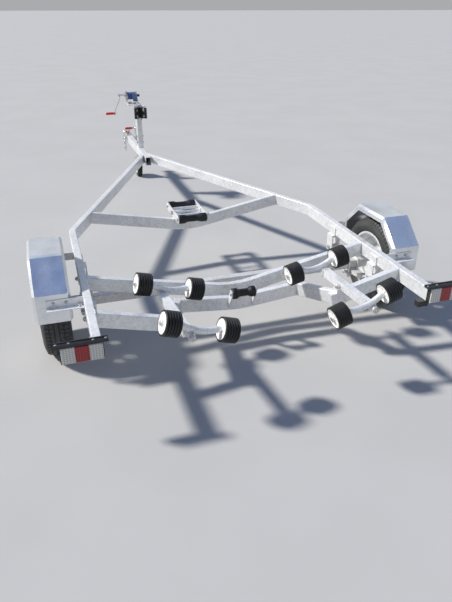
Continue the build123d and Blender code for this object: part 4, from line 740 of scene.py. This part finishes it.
ROLLERS = [name.removesuffix("_spin") for name in JOINTS if name.startswith("roller_")]
ROLLER_W = 0.076
DISC_R = 0.0496
DISC_T = 0.0048
DISC_DISH = 0.0030  # how far the disc is sunk between hub and rim
HUB_R = 0.0136
DISC_RIBS = 10
DISC_RIB_T = 0.0026
PIN_CAP = 0.0443  # from the middle of the roller to the cap on its pin
CAP_PROFILE = ((-0.0005, 0.0131), (0.001, 0.0124), (0.0024, 0.0100), (0.0032, 0.0060), (0.0034, 0.0008))
NIPPLE_OUT = 0.021  # from the middle of the rocker's sleeve
NIPPLE_RISE = 0.0165
NIPPLE_PROFILE = ((0, 0.0042), (0.0035, 0.0042), (0.0036, 0.0026), (0.0065, 0.0024), (0.0085, 0.0030),
                  (0.0100, 0.0020))
PIVOT_NUT = 0.032  # from the middle of the rocker's sleeve
BEAM_REACH = 0.208  # from the middle of the front rocker's sleeve to the beam's foot
BEAM_HALF = 0.020
FOOT_T = 0.007
FOOT_BOLTS = (-0.032, 0.032)
FOOT_WELD = (0.021, 0.019, 0.008)  # x, half the length along the beam, and z
END_PLATES = (0.1675, -0.2295)  # where they meet the beam, along it from its foot
END_WELD = (0.0208, 0.002, 0.039)  # x, and the lowest and highest z
SMALL_BEAD = 0.0028


def roller_discs(name):
    """The pale hub discs let into both ends of a ribbed roller, with ribs from hub to rim."""
    joint = JOINTS[name + "_spin"]
    half = ROLLER_W / 2
    back = half - DISC_T
    face = half - DISC_DISH
    hub = ((back, HUB_R), (half + 0.0001, HUB_R), (half + 0.0001, HUB_R + 0.0045), (face, HUB_R + 0.006))
    rim = ((face, DISC_R - 0.0065), (half - 0.0004, DISC_R - 0.005), (half - 0.0004, DISC_R - 0.0008),
           (half - 0.0012, DISC_R), (back, DISC_R))
    rib_low = (face - 0.001, -DISC_RIB_T / 2, HUB_R + 0.003)
    rib_high = (half - 0.0006, DISC_RIB_T / 2, DISC_R - 0.0045)
    shape = Shape()
    for sign in (-1, 1):
        place = axes(joint["pos_m"], sign * Vector(joint["axis"]))
        shape.turned(hub + rim, place, 44, closed=True)
        for rib in range(DISC_RIBS):
            turned = place @ Matrix.Rotation(2 * math.pi * rib / DISC_RIBS, 4, "X")
            shape.slab(rib_low, rib_high, turned, edge=0.0003)
    shape.piece(name + "_discs", name, NYLON)


def rocker_trim(label):
    """Caps on the roller pins, grease nipples on the sleeve and the nut on the pivot pin."""
    pivot = JOINTS[label + "_pivot"]
    centre = Vector(pivot["pos_m"])
    along = Vector(pivot["axis"])
    caps = Shape()
    for spot, sign in (("outer", 1), ("inner", -1)):
        roller = JOINTS[f"{label.replace('rocker', 'roller')}_{spot}_spin"]
        across = Vector(roller["axis"])
        place = axes(roller["pos_m"], sign * across)
        caps.turned([(PIN_CAP + out, radius) for out, radius in CAP_PROFILE], place, 24)
    up = across.cross(along).normalized()
    up = up if up.z > 0 else -up
    for end in (-1, 1):
        root = centre + end * along * NIPPLE_OUT + up * NIPPLE_RISE
        caps.turned(NIPPLE_PROFILE, axes(root, up), 12)
    caps.piece(label + "_caps", label, BOLT)
    nut = Shape()
    out = along if "front" in label else -along
    nut.fastener(centre + out * PIVOT_NUT, out, across=0.0272, head=0.0084, stud=0.004, washer=0)
    nut.piece(label + "_nut", "chassis", BOLT)


def beam_place(side):
    """The frame of a roller beam: X across it, Y along it to the front, origin under it over its foot."""
    front = joint_place(f"rocker_front_{side}_pivot")
    along = Vector(JOINTS[f"rocker_front_{side}_pivot"]["axis"]).normalized()
    across = along.cross(Vector((0, 0, 1))).normalized()
    up = across.cross(along)
    origin = front - along * BEAM_REACH - up * BEAM_HALF
    return Matrix.Translation(origin) @ Matrix((across, along, up)).transposed().to_4x4()


def beam_trim(side):
    """Nuts on the beam's foot and weld beads round the foot and the end plates."""
    place = beam_place(side)
    up = place.to_3x3() @ Vector((0, 0, 1))
    bolts = Shape()
    for x in FOOT_BOLTS:
        bolts.fastener(place @ Vector((x, 0, FOOT_T)), up, across=0.022, head=0.009, stud=0.009)
    bolts.piece(f"beam_bolts_{side}", "chassis", BOLT)
    beads = Shape()
    out, reach, z = FOOT_WELD
    for x in (-out, out):
        beads.weld(place @ Vector((x, -reach, z)), place @ Vector((x, reach, z)), SMALL_BEAD)
    out, low, high = END_WELD
    corners = ((-out, low), (-out, high), (out, high), (out, low))
    for y in END_PLATES:
        for (xa, za), (xb, zb) in zip(corners, corners[1:]):
            beads.weld(place @ Vector((xa, y, za)), place @ Vector((xb, y, zb)), SMALL_BEAD)
    beads.piece(f"beam_welds_{side}", "chassis", BEAD)


# Keel rollers, in mm: x of the pin's end, its body, the roller, y and z

KEEL_PINS = (
    (107, "keel_cradle", "front", 1872, 386),
    (107, "keel_cradle", "rear", 1552, 386),
    (71.3, "chassis", "middle", 484, 318),
)
CRADLE_BOLT = (109, 1712, 386)
PIN_WASHER = ((0, 0.013), (0.002, 0.013), (0.0024, 0.0122))  # in metres, as is what follows
SPLIT_PIN_OUT = 0.0048
SPLIT_PIN_R = 0.0085
SPLIT_PIN_WIRE = 0.0011


def keel_bushes(name, y, z):
    """Pale bushes that show at both ends of a keel roller."""
    low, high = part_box("keel_roller_" + name)
    half = (high.x - low.x) / 2
    profile = ((half - 0.001, 0.0125), (half + 0.0012, 0.0125), (half + 0.0018, 0.0115))
    bush = Shape()
    for sign in (-1, 1):
        bush.turned(profile, axes(at(0, y, z), (sign, 0, 0)), 24)
    bush.piece("keel_bushes_" + name, "keel_roller_" + name, NYLON)


def keel_trim():
    """Washers and split pins on the keel rollers' pins, bushes in the rollers and the cradle's bolt."""
    by_body = {"keel_cradle": Shape(), "chassis": Shape()}
    for face, body, name, y, z in KEEL_PINS:
        shape = by_body[body]
        for sign in (-1, 1):
            place = axes(at(sign * face, y, z), (sign, 0, 0))
            shape.turned(PIN_WASHER, place, 24)
            wire = [place @ Vector(point) for point in ring(16, SPLIT_PIN_R, SPLIT_PIN_OUT)]
            shape.loop(wire, SPLIT_PIN_WIRE, 6)
        if name != "middle":
            keel_bushes(name, y, z)
    x, y, z = CRADLE_BOLT
    for sign in (-1, 1):
        point = at(sign * x, y, z)
        by_body["chassis"].fastener(point, (sign, 0, 0), across=0.0252, head=0.0084, stud=0.003, washer=0)
    for body, shape in by_body.items():
        shape.piece(f"keel_pins_{body}", body, BOLT)


# Winch, post and bow stop, in mm

WINCH_X = -38
DRUM_Y, DRUM_Z = 3650, 935
DRUM_CORE = 17
DRUM_NUT_X = -97
SLEEVE_X = 14.5
WOUND_HALF = 39  # half width of the strap on the drum
STRAP_R = 33.4  # outside of its top turn
STRAP_HALF = 21.5
STRAP_T = 1.6
DRUM_STEPS = 6  # points of the strap's run on the drum, and the angle between them
DRUM_STEP = 0.14
DOUBLED_BACK = (0.2, 0.4, 0.576)  # points of its stitched end, as shares of the run
RING_X, RING_Y, RING_Z = -14, 3576, 898.8  # far bar of the hook's ring
RING_WIRE = 3.15
CRANK_Y = 3706
CRANK_NUT_X = -146
PINION_NUT_X = 12
GRIP_NUT = (-198, CRANK_Y, 770)
BASE_BOLTS = ((-64, 3620), (-12, 3620))  # x and y
BASE_TOP, SHELF_UNDER = 870, 860
POST_X, POST_HALF = 8, 25
POST_BOLT = (4, 3628, 455)
POST_BOLTS_Y, POST_BOLTS_Z = 3592, (500, 560)
STOP_TURN = math.radians(44)  # each wing of the bow stop, out from straight back
STOP_ROOT = (POST_X, 3528, 796)
STOP_BOLTS_Z = (-26, 26)  # from its root
STOP_BOLT_OUT = 0.062  # along the wing, in metres, as is what follows
STOP_FACE, STOP_BACK = 0.0198, 0.004
STOP_BUTTON = ((0, 0.0115), (0.0010, 0.0115), (0.0018, 0.0105), (0.0022, 0.006), (0.0020, 0.001))
SLEEVE_PROFILE = ((0, 0.0105), (0.003, 0.0115), (0.022, 0.0115), (0.0245, 0.0100), (0.0252, 0.0030))


def round_point(y, z, radius, angle):
    return (y + radius * math.cos(angle), z + radius * math.sin(angle))


def strap_route():
    """The strap's middle line from the drum to the ring, round its bar and back, as (y, z)."""
    reach = math.hypot(DRUM_Y - RING_Y, DRUM_Z - RING_Z)
    lean = math.atan2(DRUM_Z - RING_Z, DRUM_Y - RING_Y)
    bar = RING_WIRE + STRAP_T
    tilt = lean + math.asin((STRAP_R - bar) / reach)
    normal = tilt + math.pi / 2
    route = []
    for step in range(DRUM_STEPS, -1, -1):
        route.append(round_point(DRUM_Y, DRUM_Z, STRAP_R, normal - step * DRUM_STEP))
    for step in range(9):
        route.append(round_point(RING_Y, RING_Z, bar, normal + step * math.pi / 8))
    last = route[-1]
    return route + [round_point(*last, share * reach, tilt + 0.03) for share in DOUBLED_BACK]


def strap_run():
    """The strap from the drum to the hook, doubled back on itself."""
    route = strap_route()
    side = Vector((STRAP_HALF, 0, 0))
    rings = []
    for number, (y, z) in enumerate(route):
        before = route[max(number - 1, 0)]
        after = route[min(number + 1, len(route) - 1)]
        along = Vector((0, after[0] - before[0], after[1] - before[1])).normalized()
        out = Vector((-1, 0, 0)).cross(along) * STRAP_T / 2
        share = min(number, DRUM_STEPS) / DRUM_STEPS
        middle = Vector((WINCH_X + (RING_X - WINCH_X) * share, y, z))
        corners = (middle - side - out, middle + side - out, middle + side + out, middle - side + out)
        rings.append([at(*corner) for corner in corners])
    shape = Shape()
    shape.skin(rings)
    shape.piece("strap_run", "chassis", FINISHES["blue_webbing"], "blue_webbing")


def wound_strap():
    """The strap on the drum, its turns lying a little up and down."""
    edge = WOUND_HALF - 0.3
    side = [(WOUND_HALF - 1.6, STRAP_R - 0.5), (edge, STRAP_R - 1.8), (edge, DRUM_CORE)]
    top = []
    for turn in range(-3, 4):
        radius = STRAP_R - 0.3 + 0.25 * (turn % 2)
        top += [(turn * 10 - 3, radius), (turn * 10 + 3, radius)]
    profile = [(x * MM, radius * MM) for x, radius in mirrored(side) + top + side]
    wound = Shape()
    wound.turned(profile, axes(at(WINCH_X, DRUM_Y, DRUM_Z), (1, 0, 0)), 48, closed=True)
    made = wound.piece("wound_strap", "winch_drum", FINISHES["blue_webbing"], "blue_webbing")
    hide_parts("winch_strap")


def stop_bolts(shape, sign):
    """Round heads on the face of one wing of the bow stop and nuts behind it."""
    wing = Vector((sign * math.sin(STOP_TURN), -math.cos(STOP_TURN), 0))
    face = Vector((-sign * math.cos(STOP_TURN), -math.sin(STOP_TURN), 0))
    for z in STOP_BOLTS_Z:
        rise = Vector((0, 0, z * MM))
        root = at(*STOP_ROOT) + wing * STOP_BOLT_OUT + face * STOP_FACE + rise
        shape.turned(STOP_BUTTON, axes(root, face), 24)
        back = at(*STOP_ROOT) + wing * STOP_BOLT_OUT - face * STOP_BACK + rise
        shape.fastener(back, -face, across=0.013, head=0.006, stud=0.004)


def post_bolts():
    """Bolts through the winch's base, the post's foot and sides and the bow stop."""
    shape = Shape()
    for x, y in BASE_BOLTS:
        shape.fastener(at(x, y, BASE_TOP), (0, 0, 1), across=0.015, head=0.006, stud=0.003)
        shape.fastener(at(x, y, SHELF_UNDER), (0, 0, -1), across=0.015, head=0.007, stud=0.004)
    shape.fastener(at(*POST_BOLT), (0, 0, 1), across=0.017, head=0.008)
    for sign in (-1, 1):
        for z in POST_BOLTS_Z:
            point = at(POST_X + sign * POST_HALF, POST_BOLTS_Y, z)
            shape.fastener(point, (sign, 0, 0), across=0.017, head=0.007)
        stop_bolts(shape, sign)
    shape.piece("post_bolts", "chassis", BOLT)


def winch_trim():
    """Nuts on the drum's and the crank's shafts and on the grip, and the sleeve on the drum's shaft."""
    left, right = (-1, 0, 0), (1, 0, 0)
    drum = Shape()
    drum.fastener(at(DRUM_NUT_X, DRUM_Y, DRUM_Z), left, across=0.019, head=0.006, washer=0.0015)
    drum.piece("drum_nut", "winch_drum", BOLT)
    sleeve = Shape()
    sleeve.turned(SLEEVE_PROFILE, axes(at(SLEEVE_X, DRUM_Y, DRUM_Z), right), 24)
    sleeve.piece("drum_sleeve", "winch_drum", FINISHES["black_plastic"])
    crank = Shape()
    crank.fastener(at(CRANK_NUT_X, CRANK_Y, DRUM_Z), left, across=0.022, head=0.008, stud=0.003)
    crank.fastener(at(PINION_NUT_X, CRANK_Y, DRUM_Z), right, across=0.019, head=0.007, washer=0.0015)
    crank.fastener(at(*GRIP_NUT), right, across=0.013, head=0.005)
    crank.piece("crank_nuts", "winch_crank", BOLT)


# Chain and jockey wheel, in mm

LINK_R, LINK_HALF, LINK_WIRE = 9, 9, 3.9
CHAIN_TOP = (-51, 4254, 412.5)
CHAIN_PITCH = 27.7
CHAIN_LINKS = 5
CHAIN_BOLT_X = -31
CHAIN_BOLT = ((0, 0.0046), (0.034, 0.0046), (0.0345, 0.0040))  # in metres, as the next two
CHAIN_WASHER = ((0.0298, 0.0105), (0.0315, 0.0105), (0.0316, 0.0095))
CHAIN_NUT = (0.0165, 0.0315, 0.0375)  # across, and from where to where along the bolt
JOCKEY_R, JOCKEY_HALF = 100, 29
JOCKEY_GROOVES = (-14, 0, 14)
JOCKEY_NUT = 0.036  # from the middle of the wheel, in metres, as is what follows
CLAMP_BAR = 0.006  # the clamp's tightening bar, from its box's right side
CLAMP_BAR_DROP = 0.0375  # the bar's middle, from the top of the rails
CLAMP_BAR_HALF = 0.034
BALL_LENGTH = 0.011
BALL_SUNK = 0.003  # how far each ball reaches over the bar's end
BALL_R = 0.0062


def link_outline():
    """The middle line of a link, as (across, rise): two half circles joined by straights."""
    outline = []
    for end, start in ((1, 0), (-1, math.pi)):
        for step in range(9):
            outline.append(round_point(0, end * LINK_HALF, LINK_R, start + step / 8 * math.pi))
    return outline


def chain():
    """Round links, each turned a quarter from the last, hanging from a bolt."""
    x, y, top = CHAIN_TOP
    shape = Shape()
    for number in range(CHAIN_LINKS):
        z = top - LINK_HALF - number * CHAIN_PITCH
        if number % 2 == 0:
            path = [at(x, y + across, z + rise) for across, rise in link_outline()]
        else:
            path = [at(x + across, y, z + rise) for across, rise in link_outline()]
        shape.loop(path, LINK_WIRE * MM, 10)
    bolt = axes(at(CHAIN_BOLT_X, y, top), (-1, 0, 0))
    shape.turned(CHAIN_BOLT, bolt, 16)
    shape.hexagon(*CHAIN_NUT, bolt)
    shape.turned(CHAIN_WASHER, bolt, 20)
    made = shape.piece("round_chain", "chassis", FINISHES["zinc_plated"], "zinc_plated")
    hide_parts("safety_chain")


def jockey_tyre(place, half, r):
    """A solid rubber tyre with grooves round it."""
    wall = half - 0.002
    shoulder = [(0.0215, r * 0.992), (half - 0.006, r * 0.96), (wall, r * 0.88), (wall, r * 0.70)]
    tread = []
    for groove in JOCKEY_GROOVES:
        x = groove * MM
        tread += [(x - 0.0028, r), (x - 0.0014, r - 0.003), (x + 0.0014, r - 0.003), (x + 0.0028, r)]
    shape = Shape()
    shape.turned(mirrored(shoulder) + tread + shoulder, place, 56, closed=True)
    made = shape.piece("jockey_tyre", "jockey_wheel", FINISHES["black_rubber"], "black_rubber")
    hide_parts("jockey_wheel")


def jockey_rim(place, half, r):
    """A pressed wheel with a rolled edge, a flat web and a hub as wide as the tyre."""
    edge = half - 0.001
    web = half - 0.013
    hub = half - 0.0005
    side = [(edge - 0.003, r * 0.715), (edge, r * 0.70), (edge, r * 0.67), (web + 0.002, r * 0.64),
            (web, r * 0.58), (web, r * 0.32), (web + 0.003, r * 0.26), (hub, r * 0.23), (hub, 0.0073)]
    shape = Shape()
    shape.turned(mirrored(side) + side, place, 56, closed=True)
    shape.piece("jockey_rim", "jockey_wheel", FINISHES["zinc_plated"], "zinc_plated")


def jockey_wheel():
    place = axes(joint_place("jockey_wheel_spin"), (1, 0, 0))
    jockey_tyre(place, JOCKEY_HALF * MM, JOCKEY_R * MM)
    jockey_rim(place, JOCKEY_HALF * MM, JOCKEY_R * MM)


def jockey_trim():
    """Nuts on the jockey wheel's pin and balls on the ends of the clamp's tightening bar."""
    centre = joint_place("jockey_wheel_spin")
    nuts = Shape()
    for sign in (-1, 1):
        point = centre + Vector((sign * JOCKEY_NUT, 0, 0))
        nuts.fastener(point, (sign, 0, 0), across=0.019, head=0.007, stud=0.002)
    nuts.piece("jockey_pin_nuts", "jockey_fork", BOLT)
    ball = []
    for step in range(9):
        along = BALL_LENGTH / 2 * (1 - math.cos(step * math.pi / 8)) - BALL_SUNK
        ball.append((along, BALL_R * math.sin(max(step, 0.4) * math.pi / 8.6)))
    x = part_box("jockey_clamp")[1].x - CLAMP_BAR
    y = joint_place("jockey_castor").y
    ends = Shape()
    for sign in (-1, 1):
        z = RAIL_TOP - CLAMP_BAR_DROP + sign * CLAMP_BAR_HALF
        ends.turned(ball, axes((x, y, z), (0, 0, sign)), 16)
    ends.piece("clamp_bar_ends", "chassis", BOLT)


# Weld beads on the frame, in mm

# x and y of the rear and front corner of each cross member's end
MEMBER_ENDS = (
    ((804, 250), (804, 290)),
    ((804, 645), (804, 685)),
    ((678.3, 1692), (661.6, 1732)),
)
TUBE_TOP, TUBE_LOW = 450, 375
BEAD_LOW, BEAD_TOP = TUBE_LOW + 3, TUBE_TOP - 3  # ends of an upright bead
BAR_HALF = 25
BAR_JOINT = (3256, 3326)  # where the rails meet the drawbar's sides
HANGER_X = 803
HANGER_WELD_Y = 34  # from the middle of a hanger
HANGER_WELD_Z = (378, 424)
BRACKET_WELD_X = 845
BRACKET_WELD_Z = (BRACKET_Z + 6, BRACKET_Z + 42)
POST_FOOT = (3568, 3612, 451)  # rear, front and z


def upright_weld(shape, x, y, low, high, radius=BEAD_R):
    shape.weld(at(x, y, low), at(x, y, high), radius)


def frame_welds():
    shape = Shape()
    for sign in SIDES.values():
        for corners in MEMBER_ENDS:
            for x, y in corners:
                upright_weld(shape, sign * x, y, BEAD_LOW, BEAD_TOP)
            shape.weld(*[at(sign * x, y, TUBE_TOP - 0.5) for x, y in corners], 0.0030)
        for z in (TUBE_TOP, TUBE_LOW):
            shape.weld(*[at(sign * (BAR_HALF + 0.5), y, z) for y in BAR_JOINT])
        upright_weld(shape, sign * (BAR_HALF + 1), BAR_JOINT[0] - 3, BEAD_LOW, BEAD_TOP)
        for hanger_y in (WHEEL_Y - EYE_REACH, WHEEL_Y + EYE_REACH):
            for dy in (-HANGER_WELD_Y, HANGER_WELD_Y):
                upright_weld(shape, sign * HANGER_X, hanger_y + dy, *HANGER_WELD_Z, SMALL_BEAD)
            top = [at(sign * (HANGER_X - 2), hanger_y + dy, HANGER_WELD_Z[1] + 1) for dy in (-33, 33)]
            shape.weld(*top, SMALL_BEAD)
        for y, end in zip(GUARD_FACES, (-1, 1)):
            upright_weld(shape, sign * BRACKET_WELD_X, y + end * 3, *BRACKET_WELD_Z, SMALL_BEAD)
        rear, front, z = POST_FOOT
        shape.weld(*[at(POST_X + sign * (POST_HALF + 0.5), y, z) for y in (rear, front)], SMALL_BEAD)
    shape.piece("frame_welds", "chassis", BEAD)


# Ground, backdrop and light

FLOOR_HALF = 400.0
KEY_FROM = (-7.5, 3.5, 7.4)  # direction that the light comes from
KEY_SPREAD = 5.0  # degrees across, as seen from the trailer
KEY_POWER = 5.2
KEY_COLOUR = (1, 0.97, 0.92)
SKY_LEVEL = 0.6
# The backdrop's colours, from the horizon at 0 to straight up at 1
SKY = ((0.0, (0.66, 0.68, 0.70)), (0.46, (0.97, 0.99, 1.0)), (0.62, (0.42, 0.60, 0.92)),
       (0.86, (0.05, 0.18, 0.58)))


def floor():
    mesh = bpy.data.meshes.new("floor")
    h = FLOOR_HALF
    mesh.from_pydata([(-h, -h, 0), (h, -h, 0), (h, h, 0), (-h, h, 0)], [], [(0, 1, 2, 3)])
    made = new_object("floor", mesh)
    f = Finish("floor", Specular_IOR_Level=0.2)
    f.colour(f.ramp(f.noise(1.2, 3.0), (0.4, (0.415, 0.41, 0.40)), (0.6, (0.43, 0.425, 0.415))))
    f.roughness(0.8)
    mesh.materials.append(f.material)


def sky():
    """A soft backdrop, pale at the horizon and blue overhead."""
    world = bpy.data.worlds.new("studio")
    world.use_nodes = True
    bpy.context.scene.world = world
    tree = world.node_tree
    place = tree.nodes.new("ShaderNodeTexCoord")
    parts = tree.nodes.new("ShaderNodeSeparateXYZ")
    tree.links.new(place.outputs["Generated"], parts.inputs["Vector"])
    ramp = tree.nodes.new("ShaderNodeValToRGB")
    tree.links.new(parts.outputs["Z"], ramp.inputs["Fac"])
    set_stops(ramp, SKY)
    back = tree.nodes["Background"]
    tree.links.new(ramp.outputs["Color"], back.inputs["Color"])
    back.inputs["Strength"].default_value = SKY_LEVEL


def key_lamp():
    """A broad lamp far off to the left, high up and ahead of the trailer."""
    data = bpy.data.lights.new("key", "SUN")
    data.angle = math.radians(KEY_SPREAD)
    data.energy = KEY_POWER
    data.color = KEY_COLOUR
    made = new_object("key", data)
    made.rotation_euler = (-Vector(KEY_FROM)).to_track_quat("-Z", "Y").to_euler()


bpy.context.scene.view_settings.view_transform = "Standard"
camera()
floor()
sky()
key_lamp()
dress_nodes()
for side in SIDES:
    tyre(side)
    wheel_trim(side)
    beam_trim(side)
    for end in ("front", "rear"):
        rocker_trim(f"rocker_{end}_{side}")
springs()
guard_bolts()
lamps()
for roller in ROLLERS:
    roller_discs(roller)
keel_trim()
strap_run()
wound_strap()
post_bolts()
winch_trim()
chain()
jockey_wheel()
jockey_trim()
frame_welds()
